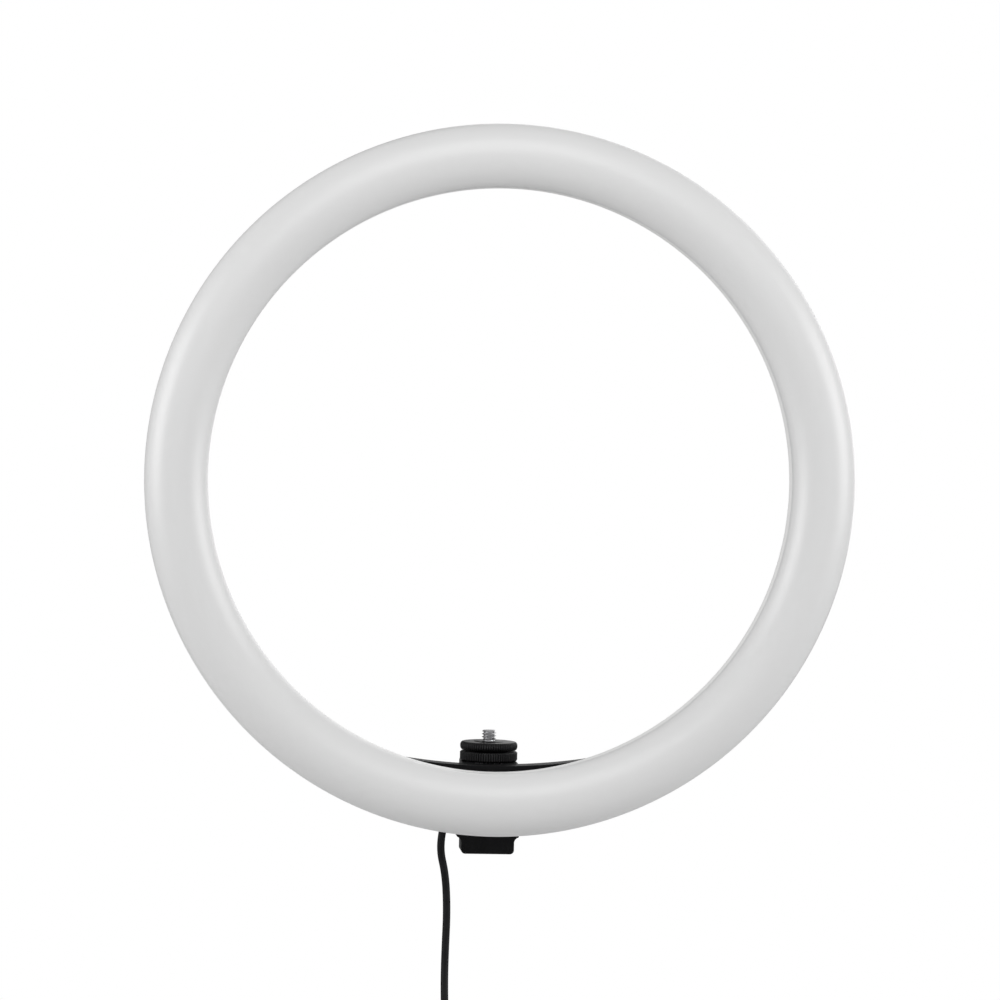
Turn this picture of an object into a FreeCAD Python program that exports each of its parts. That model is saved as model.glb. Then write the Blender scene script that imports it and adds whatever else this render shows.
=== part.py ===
import FreeCAD, Part
import math
import os

from FreeCAD import Vector

os.makedirs("parts", exist_ok=True)

# Ring light head on a tilting foot, millimetres, +Z up.
# The origin is the mouth of the tripod thread, at the centre of the foot's bottom face.
# The lit face looks along -Y, and +X is to the right of someone who faces it.

# Ring
RING_OUTER_R = 152.5
RING_BAND = 27.0
RING_BOTTOM_Z = 11.1
RING_REAR_Y = -24.0
SHELL_DEPTH = 11.0
SHELL_WALL = 1.8
SHELL_CORNER_R = 4.0
DIFFUSER_DEPTH = 12.0
DIFFUSER_WALL = 1.6
DIFFUSER_CORNER_R = 8.0
DIFFUSER_SKIRT = 1.5
MOUTH_WALL = 0.8
LIP_LENGTH = 1.9
LIP_CLEARANCE = 0.1

# Light board inside the ring
BOARD_INSET = 4.4
BOARD_OUTER_INSET = 8.6
BOARD_THICKNESS = 1.2
BOARD_STANDOFF = 4.0
BOARD_BOSS_R = 2.2
BOARD_SCREW_COUNT = 6
CHIPS_PER_ROW = 60
CHIP_ROW_GAP = 6.0
CHIP_LENGTH = 3.5
CHIP_WIDTH = 2.8
CHIP_HEIGHT = 0.8

# Wires from the light board back to the control board
LEADS_ANGLE = 13.0
LEADS_HOLE_R = 3.2
LEAD_WIRE_R = 0.6
LEAD_WIRE_GAP = 1.9

# Screws that close the ring from behind
SHELL_SCREW_COUNT = 6
SHELL_POST_INSET = 6.0
SHELL_POST_R = 2.0

# Self-tapping pan-head screws
SCREW_R = 1.0
SCREW_HEAD_R = 2.0
SCREW_HEAD_HEIGHT = 1.1
SCREW_LENGTH = 6.0
SCREW_SLOT_LENGTH = 2.4
SCREW_SLOT_WIDTH = 0.5
SCREW_SLOT_DEPTH = 0.5
SCREW_CLEARANCE = 0.05
SCREW_HEAD_CLEARANCE = 0.4

# Control housing behind the lower edge of the ring
HOUSING_TOP_Z = 40.2
HOUSING_TOP_R = 268.0
HOUSING_HEIGHT = 20.0
HOUSING_DEPTH = 10.5
HOUSING_WALL = 1.8
HOUSING_CORNER_R = 6.0
HOUSING_EDGE_R = 1.2
HOUSING_GAP = 0.1
POST_R = 2.6
POST_SHOULDER_R = 3.6
END_POST_GAP = 1.5
END_MARGIN = 6.0
MOUNT_SCREW_X = (-45.2, -19.4, 19.4, 45.2)
MOUNT_BOSS_R = 2.6
MOUNT_BOSS_HEIGHT = 3.4

# Control board, its parts, switches and dimmer
CONTROL_BOARD_GAP = 1.4
CONTROL_BOARD_THICKNESS = 1.2
CONTROL_BOARD_INSET = 0.8
CONNECTOR_WIDTH = 6.0
CONNECTOR_DEPTH = 2.2
CONNECTOR_HEIGHT = 4.0
CONNECTOR_Z = 29.6
POWER_LEAD_R = 0.5
POWER_LEAD_GAP = 2.0
CHIP_PACKAGE = (0.0, 6.0, 5.0, 1.4)
INDUCTOR = (22.0, 5.0, 5.0, 2.0)
SWITCH_SIZE = 6.0
SWITCH_HEIGHT = 2.5
SWITCH_WELL_R = 1.75
SWITCH_WELL_DEPTH = 1.2
CONNECTOR_GAP = 0.4
BUTTON_COUNT = 3
BUTTON_R = 3.2
BUTTON_LIP = 0.7
BUTTON_SPACING = 0.2
BUTTON_PROUD = 1.4
BUTTON_FLANGE_THICKNESS = 0.7
BUTTON_STEM_R = 1.6
BUTTON_CLEARANCE = 0.15
BUTTON_STEM_ENTRY = 0.2
DIMMER_TO_END_SCREW = 13.0
DIMMER_BODY = 9.5
DIMMER_BODY_HEIGHT = 3.0
DIMMER_BUSH_R = 3.4
DIMMER_SHAFT_R = 2.0
DIMMER_KNOB_R = 7.0
DIMMER_KNOB_HEIGHT = 8.0
DIMMER_KNOB_GAP = 0.5
DIMMER_KNOB_CAP = 2.0
DIMMER_KNOB_TAPER = 0.8
DIMMER_FLOOR = 1.0
DIMMER_FLAT = 1.0
DIMMER_GRIP_DEPTH = 0.4
POINTER_WIDTH = 0.8
POINTER_DEPTH = 0.6
POINTER_START = 2.0
DIMMER_GRIPS = 18
RUNNING_CLEARANCE = 0.05

# Bracket that joins the housing, the shoe and the tilt joint
TILT_AXIS_Z = 21.0
TONGUE_HALF_WIDTH = 4.6
TONGUE_R = 8.5
FLANGE_THICKNESS = 3.2
FLANGE_HALF_WIDTH = 15.0
FLANGE_BOTTOM_Z = 22.2
FLANGE_CORNER_R = 1.5
PLATFORM_THICKNESS = 4.2
PLATFORM_HALF_WIDTH = 12.0
PLATFORM_REAR_Y = 10.8
PLATFORM_CORNER_R = 2.0
BRACKET_OVERLAP = 1.0
TONGUE_WEB_REAR_Y = 6.0
BRACKET_SCREW_X = 9.6
BRACKET_SCREW_LOW_Z = 25.4
BRACKET_SCREW_HIGH_Z = 34.6

# Cold shoe and the adapter that slides in it
SHOE_TOP_Z = 40.2
SHOE_RAIL_THICKNESS = 1.3
SHOE_SLOT_HEIGHT = 2.05
SHOE_SLOT_WIDTH = 18.6
SHOE_MOUTH_WIDTH = 12.5
SHOE_SIDE_WALL = 2.9
SHOE_FLOOR = 1.5
SHOE_LENGTH = 20.0
SHOE_FLANGE_GAP = 0.3
SHOE_STOP = 1.4
SHOE_CORNER_R = 1.0
SHOE_SCREW_Y = 5.5
SHOE_SCREW_HEAD = 0.9
SHOE_SCREW_LENGTH = 4.7
ADAPTER_PLATE_WIDTH = 18.4
ADAPTER_PLATE_LENGTH = 17.6
ADAPTER_PLATE_THICKNESS = 1.85
ADAPTER_CORNER_R = 1.5
ADAPTER_COLLAR_R = 5.8
STUD_R = 3.175
STUD_PITCH_R = 2.85
STUD_FREE_LENGTH = 5.0
STUD_TIP_CHAMFER = 0.6
STUD_RELIEF = 0.4
WHEEL_R = 12.6
LOWER_WHEEL_Z = 40.5
LOWER_WHEEL_THICKNESS = 4.1
UPPER_WHEEL_THICKNESS = 3.7
WHEEL_GAP = 0.5
WHEEL_EDGE = 0.6
WHEEL_BEAD = 1.2
KNURL_COUNT = 72
KNURL_DEPTH = 0.45
WHEEL_HUB_R = 6.5
WHEEL_HUB_RISE = 0.25
WHEEL_MOUTH_DEPTH = 0.6

# Foot with its two ears
FOOT_HALF_WIDTH = 11.6
FOOT_HALF_DEPTH = 7.0
FOOT_CORNER_R = 1.8
FOOT_SHOULDER_Z = 7.4
FOOT_SHOULDER_R = 2.4
EAR_HALF_WIDTH = 13.6
EAR_GAP = 0.6
EAR_R = 8.5
FOOT_SLOT_BOTTOM_Z = 11.6
THREAD_R = 3.175
THREAD_LENGTH = 9.0
BUSH_WALL = 1.4
BUSH_CLEARANCE = 0.02
BUSH_GROOVE_WIDTH = 0.8
BUSH_GROOVE_DEPTH = 0.4

# Tilt bolt, washers and knob
BOLT_R = 3.0
BOLT_CLEARANCE = 0.06
BOLT_HEAD_AF = 10.0
BOLT_HEAD_THICKNESS = 4.0
BOLT_HEAD_RECESS = 3.0
BOLT_END_GAP = 0.5
HEX_CLEARANCE = 0.1
FRICTION_WASHER_R = 7.0
KNOB_WASHER_R = 6.2
KNOB_WASHER_THICKNESS = 1.0
KNOB_R = 9.0
KNOB_BOSS_R = 6.4
KNOB_BOSS_LENGTH = 2.2
KNOB_LENGTH = 11.0
KNOB_SCALLOPS = 6
KNOB_SCALLOP_R = 4.2
KNOB_SCALLOP_DEPTH = 1.6
KNOB_EDGE_R = 1.4
KNOB_CAP = 2.0
KNOB_NUT_THICKNESS = 5.0

# Cord, its strain relief, coil, tie and plug
CORD_D = 3.3
CORD_X = -20.6
BOOT_FLANGE_R = 4.2
BOOT_FLANGE_THICKNESS = 1.4
BOOT_FLANGE_HALF_DEPTH = 2.2
BOOT_NECK_R = 2.4
BOOT_TOP_R = 3.6
BOOT_END_R = 2.35
BOOT_END_Z = 12.0
BOOT_GROOVES = 3
BOOT_GROOVE_WIDTH = 0.7
BOOT_CORE_R = 2.15
COIL_X = -18.6
COIL_Y = -18.75
COIL_Z = -96.0
COIL_MEAN_R = 20.0
COIL_PITCH = 4.05
COIL_TURNS = 14.125
COIL_LAYERS = 4
COIL_START_ANGLE = 135.0
TIE_LENGTH = 9.0
TIE_WALL = 1.0
TIE_CLEARANCE = 0.3
PLUG_GRIP_WIDTH = 15.0
PLUG_GRIP_THICKNESS = 7.8
PLUG_GRIP_LENGTH = 24.0
PLUG_GRIP_CORNER_R = 2.4
PLUG_GRIP_EDGE_R = 1.6
PLUG_NECK_LENGTH = 5.0
PLUG_NECK_TOP_R = 2.25
PLUG_NECK_END_R = 3.5
PLUG_SHELL_WIDTH = 12.0
PLUG_SHELL_THICKNESS = 4.5
PLUG_SHELL_LENGTH = 13.5
PLUG_SHELL_WALL = 0.35
PLUG_WINDOW = 2.2
PLUG_WINDOW_X = 2.9
PLUG_WINDOW_DEPTH = 6.0
PLUG_TONGUE_THICKNESS = 1.8
PLUG_TONGUE_SHORTER = 1.0

# How far a cutting tool stands clear of what it cuts, and the share of a run that an arc takes
TOOL_REACH = 1.0
ARC_SHARE = 0.45

# The cord's route, chosen by hand: out of the strain relief, in a shallow bend beside the
# foot, and down to the coil.
LEAD_ROUTE = [
    (-20.6, -18.75, 12.0),
    (-22.1, -18.75, 4.4),
    (-19.0, -18.9, -7.6),
    (-18.0, -19.0, -23.5),
    (-18.4, -19.2, -39.5),
    (-18.6, -20.8, -52.5),
    (-18.6, -26.70, -65.00),
    (-18.6, -35.67, -74.41),
]
TAIL_ROUTE = [
    (-30.75, -45.98, -99.30),
    (-30.75, -46.27, -111.3),
    (-31.2, -45.2, -123.6),
    (-31.3, -44.0, -134.6),
]

SLANT = math.sqrt(0.5)
AXIS_X = Vector(1, 0, 0)
AXIS_Y = Vector(0, 1, 0)
AXIS_Z = Vector(0, 0, 1)

# Places that several pieces share
RING_INNER_R = RING_OUTER_R - RING_BAND
RING_CENTRE_Z = RING_BOTTOM_Z + RING_OUTER_R
PARTING_Y = RING_REAR_Y - SHELL_DEPTH
SHELL_FLOOR_Y = RING_REAR_Y - SHELL_WALL
BOARD_REAR_Y = SHELL_FLOOR_Y - BOARD_STANDOFF
BOARD_FRONT_Y = BOARD_REAR_Y - BOARD_THICKNESS
BOARD_INNER_R = RING_INNER_R + BOARD_INSET
BOARD_OUTER_R = RING_OUTER_R - BOARD_OUTER_INSET
BOARD_MID_R = (BOARD_INNER_R + BOARD_OUTER_R) / 2
SHELL_POST_RING_R = RING_OUTER_R - SHELL_POST_INSET
BUTTON_FLANGE_R = BUTTON_R + BUTTON_LIP
BUTTON_START_X = CORD_X - (CONNECTOR_WIDTH + SWITCH_SIZE) / 2 - CONNECTOR_GAP
BUTTON_PITCH = 2 * BUTTON_FLANGE_R + BUTTON_SPACING
BUTTON_X = [BUTTON_START_X - BUTTON_PITCH * index for index in range(BUTTON_COUNT)]
END_SCREW_X = BUTTON_FLANGE_R + POST_R + END_POST_GAP - BUTTON_X[-1]
DIMMER_X = END_SCREW_X - DIMMER_TO_END_SCREW
HOUSING_HALF_WIDTH = END_SCREW_X + END_MARGIN
HOUSING_REAR_Y = RING_REAR_Y + HOUSING_DEPTH
HOUSING_COVER_Y = HOUSING_REAR_Y - HOUSING_WALL
HOUSING_FLOOR_Y = RING_REAR_Y + HOUSING_WALL
HOUSING_ARC_Z = HOUSING_TOP_Z + HOUSING_TOP_R
HOUSING_LOW_R = HOUSING_TOP_R + HOUSING_HEIGHT
HOUSING_MID_R = HOUSING_TOP_R + HOUSING_HEIGHT / 2
HOUSING_MID_Y = (RING_REAR_Y + HOUSING_REAR_Y) / 2
CONTROL_BOARD_Y = HOUSING_FLOOR_Y + CONTROL_BOARD_GAP
CONTROL_BOARD_REAR_Y = CONTROL_BOARD_Y + CONTROL_BOARD_THICKNESS
SWITCH_TOP_Y = CONTROL_BOARD_REAR_Y + SWITCH_HEIGHT
SCREW_HEAD_RECESS = SCREW_HEAD_HEIGHT + 0.1
FLANGE_REAR_Y = HOUSING_REAR_Y + FLANGE_THICKNESS
SHOE_FRONT_Y = FLANGE_REAR_Y + SHOE_FLANGE_GAP
SHOE_SLOT_TOP_Z = SHOE_TOP_Z - SHOE_RAIL_THICKNESS
SHOE_SLOT_BOTTOM_Z = SHOE_SLOT_TOP_Z - SHOE_SLOT_HEIGHT
SHOE_BOTTOM_Z = SHOE_SLOT_BOTTOM_Z - SHOE_FLOOR
PLATFORM_BOTTOM_Z = SHOE_BOTTOM_Z - PLATFORM_THICKNESS
LOWER_WHEEL_TOP_Z = LOWER_WHEEL_Z + LOWER_WHEEL_THICKNESS
UPPER_WHEEL_Z = LOWER_WHEEL_TOP_Z + WHEEL_GAP
UPPER_WHEEL_TOP_Z = UPPER_WHEEL_Z + UPPER_WHEEL_THICKNESS
STUD_TOP_Z = UPPER_WHEEL_TOP_Z + STUD_FREE_LENGTH
EAR_INNER_X = TONGUE_HALF_WIDTH + EAR_GAP
KNOB_WASHER_X = EAR_HALF_WIDTH
KNOB_START_X = KNOB_WASHER_X + KNOB_WASHER_THICKNESS
KNOB_END_X = KNOB_START_X + KNOB_BOSS_LENGTH + KNOB_LENGTH
TILT_CENTRE = Vector(0, 0, TILT_AXIS_Z)
CORD_R = CORD_D / 2
CORD_Y = HOUSING_MID_Y


def save(name, shape):
    """Writes one sub-part under its node name."""
    shape.exportStep("parts/" + name + ".step")


def upright_edges(shape, least_rise):
    """The edges of a shape that rise by more than this."""
    return [edge for edge in shape.Edges
            if abs(edge.Vertexes[0].Z - edge.Vertexes[-1].Z) > least_rise]


def ring_point(radius, degrees, y):
    """A point of the ring, with degrees counted from +X towards +Z."""
    angle = math.radians(degrees)
    return Vector(radius * math.cos(angle), y, RING_CENTRE_Z + radius * math.sin(angle))


def housing_z(x, radius=HOUSING_MID_R):
    """Height of the housing's arc of this radius at x."""
    return HOUSING_ARC_Z - math.sqrt(radius ** 2 - x ** 2)


def housing_point(x, y):
    """A point on the housing's middle arc."""
    return Vector(x, y, housing_z(x))


def rod(radius, start, direction, length):
    """A round bar."""
    return Part.makeCylinder(radius, length, start, direction)


def block(low, high):
    """A box between two corners."""
    size = high.sub(low)
    return Part.makeBox(size.x, size.y, size.z, low)


def joined(shapes):
    """Pieces of one moulding, fused and cleaned of inner seams."""
    whole = shapes[0].multiFuse(shapes[1:])
    return whole.removeSplitter()


def profile_face(points):
    """A flat face from corners, where a pair (middle, end) stands for an arc."""
    edges = []
    here = points[0]
    for step in points[1:] + [points[0]]:
        if isinstance(step, tuple):
            middle, end = step
            edges.append(Part.Arc(here, middle, end).toShape())
        else:
            end = step
            edges.append(Part.LineSegment(here, end).toShape())
        here = end
    return Part.Face(Part.Wire(edges))


def rim_polygon(count, outer_r, inner_r, centre, across, up):
    """A star outline for a knurled or gripped rim, in the plane of across and up."""
    corners = []
    for index in range(2 * count):
        radius = outer_r if index % 2 == 0 else inner_r
        angle = math.pi * index / count
        step = across * (radius * math.cos(angle)) + up * (radius * math.sin(angle))
        corners.append(centre + step)
    corners.append(corners[0])
    return Part.Face(Part.makePolygon(corners))


def hexagon(across_flats, start, direction, length):
    """A hexagonal bar along X."""
    corner_r = across_flats / math.sqrt(3)
    corners = []
    for index in range(7):
        angle = math.radians(60 * index)
        corners.append(start + Vector(0, corner_r * math.cos(angle), corner_r * math.sin(angle)))
    return Part.Face(Part.makePolygon(corners)).extrude(direction * length)


def pan_screw(seat, inward, length):
    """A pan-head screw: its head stands on the seat and its shank runs inward."""
    outward = inward * -1
    head = rod(SCREW_HEAD_R, seat, outward, SCREW_HEAD_HEIGHT)
    shank = rod(SCREW_R, seat, inward, length)
    across = AXIS_X if abs(inward.x) < 0.5 else AXIS_Y
    other = inward.cross(across)
    screw = head.fuse(shank)
    for way, side in ((across, other), (other, across)):
        half_long = way * (SCREW_SLOT_LENGTH / 2)
        half_wide = side * (SCREW_SLOT_WIDTH / 2)
        floor = seat + outward * (SCREW_HEAD_HEIGHT - SCREW_SLOT_DEPTH)
        corners = [floor - half_long - half_wide, floor + half_long - half_wide,
                   floor + half_long + half_wide, floor - half_long + half_wide]
        corners.append(corners[0])
        slot = Part.Face(Part.makePolygon(corners)).extrude(outward * SCREW_HEAD_HEIGHT)
        screw = screw.cut(slot)
    return screw


def screw_hole(seat, inward, length):
    """The hole that a screw's shank runs through or bites into."""
    start = seat - inward * SCREW_CLEARANCE
    return rod(SCREW_R + SCREW_CLEARANCE, start, inward, length + SCREW_CLEARANCE)


def head_recess(seat, inward, depth):
    """The round recess that a screw's head sits in."""
    return rod(SCREW_HEAD_R + SCREW_HEAD_CLEARANCE, seat, inward * -1, depth)


# Ring

def dome_chain(shrink, reverse):
    """The diffuser's section, set in by a wall, as arcs between its two edges."""
    half = (RING_OUTER_R - RING_INNER_R) / 2
    mid = (RING_OUTER_R + RING_INNER_R) / 2
    corner = DIFFUSER_CORNER_R
    rise = DIFFUSER_DEPTH - DIFFUSER_SKIRT - corner
    flat = half - corner
    crown = corner + (flat ** 2 + rise ** 2) / (2 * rise)
    lean = math.atan2(flat, crown - corner - rise)

    def at(r, depth):
        return Vector(r, PARTING_Y - depth, RING_CENTRE_Z)

    def on_corner(side, angle):
        reach = corner - shrink
        across = flat + reach * math.sin(angle)
        return at(mid + side * across, DIFFUSER_SKIRT + reach * math.cos(angle))

    right_foot = on_corner(1, math.pi / 2)
    left_foot = on_corner(-1, math.pi / 2)
    chain = [left_foot,
             (on_corner(-1, (math.pi / 2 + lean) / 2), on_corner(-1, lean)),
             (at(mid, DIFFUSER_DEPTH - shrink), on_corner(1, lean)),
             (on_corner(1, (math.pi / 2 + lean) / 2), right_foot)]
    if reverse:
        chain = [right_foot,
                 (on_corner(1, (math.pi / 2 + lean) / 2), on_corner(1, lean)),
                 (at(mid, DIFFUSER_DEPTH - shrink), on_corner(-1, lean)),
                 (on_corner(-1, (math.pi / 2 + lean) / 2), left_foot)]
    return chain


def ring_profile_point(r, depth):
    """A point of the ring's section: its radius and its depth behind the parting line."""
    return Vector(r, PARTING_Y + depth, RING_CENTRE_Z)


def revolved_ring(face):
    """A section turned once round the ring's axis."""
    return face.revolve(Vector(0, 0, RING_CENTRE_Z), AXIS_Y, 360)


def front_diffuser():
    """Opal front: a domed shell with a lip at each edge and posts for the rear screws."""
    lip_out = MOUTH_WALL + LIP_CLEARANCE
    outer = RING_OUTER_R
    inner = RING_INNER_R
    point = ring_profile_point
    chain = [point(inner, 0)]
    chain += dome_chain(0.0, False)
    chain += [point(outer, 0), point(outer - lip_out, 0), point(outer - lip_out, LIP_LENGTH),
              point(outer - DIFFUSER_WALL, LIP_LENGTH)]
    chain += dome_chain(DIFFUSER_WALL, True)
    chain += [point(inner + DIFFUSER_WALL, LIP_LENGTH), point(inner + lip_out, LIP_LENGTH),
              point(inner + lip_out, 0)]
    shell = revolved_ring(profile_face(chain))
    floor = SHELL_DEPTH - SHELL_WALL
    inside = [point(inner + DIFFUSER_WALL, floor)] + dome_chain(DIFFUSER_WALL / 2, False)
    inside.append(point(outer - DIFFUSER_WALL, floor))
    room = revolved_ring(profile_face(inside))
    posts = []
    holes = []
    for index in range(SHELL_SCREW_COUNT):
        foot = ring_point(SHELL_POST_RING_R, 360 * index / SHELL_SCREW_COUNT, SHELL_FLOOR_Y)
        post = rod(SHELL_POST_R, foot, AXIS_Y * -1, floor + DIFFUSER_DEPTH)
        posts.append(post.common(room))
        holes.append(screw_hole(foot, AXIS_Y * -1, SCREW_LENGTH))
    return joined([shell] + posts).cut(Part.makeCompound(holes))


def shell_section():
    """Section of the rear tray: two side walls, a floor and a rebate at its mouth."""
    point = ring_profile_point
    wall = SHELL_WALL
    bend = SHELL_CORNER_R
    inner_bend = bend - wall
    chain = [point(RING_INNER_R, 0)]
    chain.append(point(RING_INNER_R, SHELL_DEPTH - bend))
    chain.append((point(RING_INNER_R + bend * (1 - SLANT), SHELL_DEPTH - bend * (1 - SLANT)),
                  point(RING_INNER_R + bend, SHELL_DEPTH)))
    chain.append(point(RING_OUTER_R - bend, SHELL_DEPTH))
    chain.append((point(RING_OUTER_R - bend * (1 - SLANT), SHELL_DEPTH - bend * (1 - SLANT)),
                  point(RING_OUTER_R, SHELL_DEPTH - bend)))
    chain.append(point(RING_OUTER_R, 0))
    rebate = LIP_LENGTH + LIP_CLEARANCE
    chain.append(point(RING_OUTER_R - MOUTH_WALL, 0))
    chain.append(point(RING_OUTER_R - MOUTH_WALL, rebate))
    chain.append(point(RING_OUTER_R - wall, rebate))
    chain.append(point(RING_OUTER_R - wall, SHELL_DEPTH - bend))
    turn = wall + inner_bend * (1 - SLANT)
    chain.append((point(RING_OUTER_R - turn, SHELL_DEPTH - turn),
                  point(RING_OUTER_R - bend, SHELL_DEPTH - wall)))
    chain.append(point(RING_INNER_R + bend, SHELL_DEPTH - wall))
    chain.append((point(RING_INNER_R + turn, SHELL_DEPTH - turn),
                  point(RING_INNER_R + wall, SHELL_DEPTH - bend)))
    chain.append(point(RING_INNER_R + wall, rebate))
    chain.append(point(RING_INNER_R + MOUTH_WALL, rebate))
    chain.append(point(RING_INNER_R + MOUTH_WALL, 0))
    return chain


def mount_screw_seats():
    """Heads of the screws that fix the housing to the ring, on the housing's inner floor."""
    return [Vector(x, HOUSING_FLOOR_Y, housing_z(x)) for x in MOUNT_SCREW_X]


def board_screw_angles():
    """Screws of the light board, one of them at the bottom of the ring."""
    return [360 * index / BOARD_SCREW_COUNT - 90 for index in range(BOARD_SCREW_COUNT)]


def leads_point(y):
    """Where the wires of the light board pass back into the housing."""
    return ring_point(BOARD_MID_R, LEADS_ANGLE - 90, y)


def rear_shell():
    """White rear tray with bosses for the light board and for the housing's screws."""
    tray = revolved_ring(profile_face(shell_section()))
    bosses = []
    holes = [rod(LEADS_HOLE_R, leads_point(SHELL_FLOOR_Y), AXIS_Y, SHELL_WALL)]
    for angle in board_screw_angles():
        foot = ring_point(BOARD_MID_R, angle, SHELL_FLOOR_Y)
        top = ring_point(BOARD_MID_R, angle, BOARD_REAR_Y)
        bosses.append(rod(BOARD_BOSS_R, foot, AXIS_Y * -1, BOARD_STANDOFF))
        holes.append(screw_hole(top, AXIS_Y, BOARD_STANDOFF))
    for seat in mount_screw_seats():
        foot = Vector(seat.x, SHELL_FLOOR_Y, seat.z)
        bosses.append(rod(MOUNT_BOSS_R, foot, AXIS_Y * -1, MOUNT_BOSS_HEIGHT))
        holes.append(screw_hole(seat, AXIS_Y * -1, HOUSING_WALL + SHELL_WALL + MOUNT_BOSS_HEIGHT))
    for index in range(SHELL_SCREW_COUNT):
        mouth = ring_point(SHELL_POST_RING_R, 360 * index / SHELL_SCREW_COUNT, SHELL_FLOOR_Y)
        holes.append(rod(SCREW_R + SCREW_CLEARANCE, mouth, AXIS_Y, SHELL_WALL + SCREW_CLEARANCE))
    return joined([tray] + bosses).cut(Part.makeCompound(holes))


def led_board():
    """Annular board that carries the light-emitting chips."""
    ring = Part.makeCylinder(BOARD_OUTER_R, BOARD_THICKNESS, Vector(0, BOARD_FRONT_Y, RING_CENTRE_Z), AXIS_Y)
    bore = Part.makeCylinder(BOARD_INNER_R, BOARD_THICKNESS, Vector(0, BOARD_FRONT_Y, RING_CENTRE_Z), AXIS_Y)
    holes = [bore]
    for angle in board_screw_angles():
        holes.append(rod(SCREW_R + SCREW_CLEARANCE, ring_point(BOARD_MID_R, angle, BOARD_FRONT_Y),
                         AXIS_Y, BOARD_THICKNESS))
    return ring.cut(Part.makeCompound(holes))


def led_chips():
    """Two rows of chips, warm and cool, on the board's front face."""
    chips = []
    half_step = 180.0 / CHIPS_PER_ROW
    for radius in (BOARD_MID_R - CHIP_ROW_GAP / 2, BOARD_MID_R + CHIP_ROW_GAP / 2):
        for index in range(CHIPS_PER_ROW):
            angle = 2 * half_step * index + half_step
            low = Vector(radius - CHIP_LENGTH / 2, BOARD_FRONT_Y - CHIP_HEIGHT,
                         RING_CENTRE_Z - CHIP_WIDTH / 2)
            chip = Part.makeBox(CHIP_LENGTH, CHIP_HEIGHT, CHIP_WIDTH, low)
            chip.rotate(Vector(0, 0, RING_CENTRE_Z), AXIS_Y, -angle)
            chips.append(chip)
    return Part.makeCompound(chips)


def board_screws():
    """Screws that hold the light board on its bosses."""
    screws = []
    for angle in board_screw_angles():
        seat = ring_point(BOARD_MID_R, angle, BOARD_FRONT_Y)
        screws.append(pan_screw(seat, AXIS_Y, BOARD_THICKNESS + BOARD_STANDOFF - SCREW_CLEARANCE))
    return Part.makeCompound(screws)


def shell_screws():
    """Screws through the rear tray into the diffuser's posts."""
    screws = []
    for index in range(SHELL_SCREW_COUNT):
        seat = ring_point(SHELL_POST_RING_R, 360 * index / SHELL_SCREW_COUNT, RING_REAR_Y)
        screws.append(pan_screw(seat, AXIS_Y * -1, SCREW_LENGTH))
    return Part.makeCompound(screws)


def led_leads():
    """Three insulated wires from the light board to the control board."""
    wires = []
    for index in (-1, 0, 1):
        start = leads_point(BOARD_REAR_Y) + AXIS_X * (LEAD_WIRE_GAP * index)
        wires.append(rod(LEAD_WIRE_R, start, AXIS_Y, CONTROL_BOARD_Y - BOARD_REAR_Y))
    return Part.makeCompound(wires)


# Control housing

def arc_slab(inset, y_start, y_end):
    """The housing's banana outline, set in by a wall and extruded along Y."""
    top_r = HOUSING_TOP_R + inset
    low_r = HOUSING_LOW_R - inset
    half = math.asin((HOUSING_HALF_WIDTH - inset) / HOUSING_MID_R)

    def at(radius, angle):
        return Vector(radius * math.sin(angle), y_start, HOUSING_ARC_Z - radius * math.cos(angle))

    corners = [at(top_r, -half), (at(top_r, 0), at(top_r, half)), at(low_r, half),
               (at(low_r, 0), at(low_r, -half))]
    slab = profile_face(corners).extrude(AXIS_Y * (y_end - y_start))
    upright = []
    for edge in slab.Edges:
        ends = [vertex.Point for vertex in edge.Vertexes]
        if abs(ends[0].y - ends[1].y) > (y_end - y_start) / 2:
            upright.append(edge)
    return slab.makeFillet(HOUSING_CORNER_R - inset, upright)


def bracket_screw_seats():
    """Heads of the four screws that fix the bracket, below the flange's rear face."""
    y = FLANGE_REAR_Y - SCREW_HEAD_RECESS
    return [Vector(side * BRACKET_SCREW_X, y, z)
            for side in (-1, 1) for z in (BRACKET_SCREW_LOW_Z, BRACKET_SCREW_HIGH_Z)]


def end_screw_seats():
    """Heads of the screws at the housing's two ends, below its rear face."""
    y = HOUSING_REAR_Y - SCREW_HEAD_RECESS
    return [housing_point(side * END_SCREW_X, y) for side in (-1, 1)]


def housing_posts(radius, y_start, y_end):
    """A bar at every screw that closes the housing."""
    bars = []
    for seat in bracket_screw_seats() + end_screw_seats():
        bars.append(rod(radius, Vector(seat.x, y_start, seat.z), AXIS_Y, y_end - y_start))
    return bars


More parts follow.
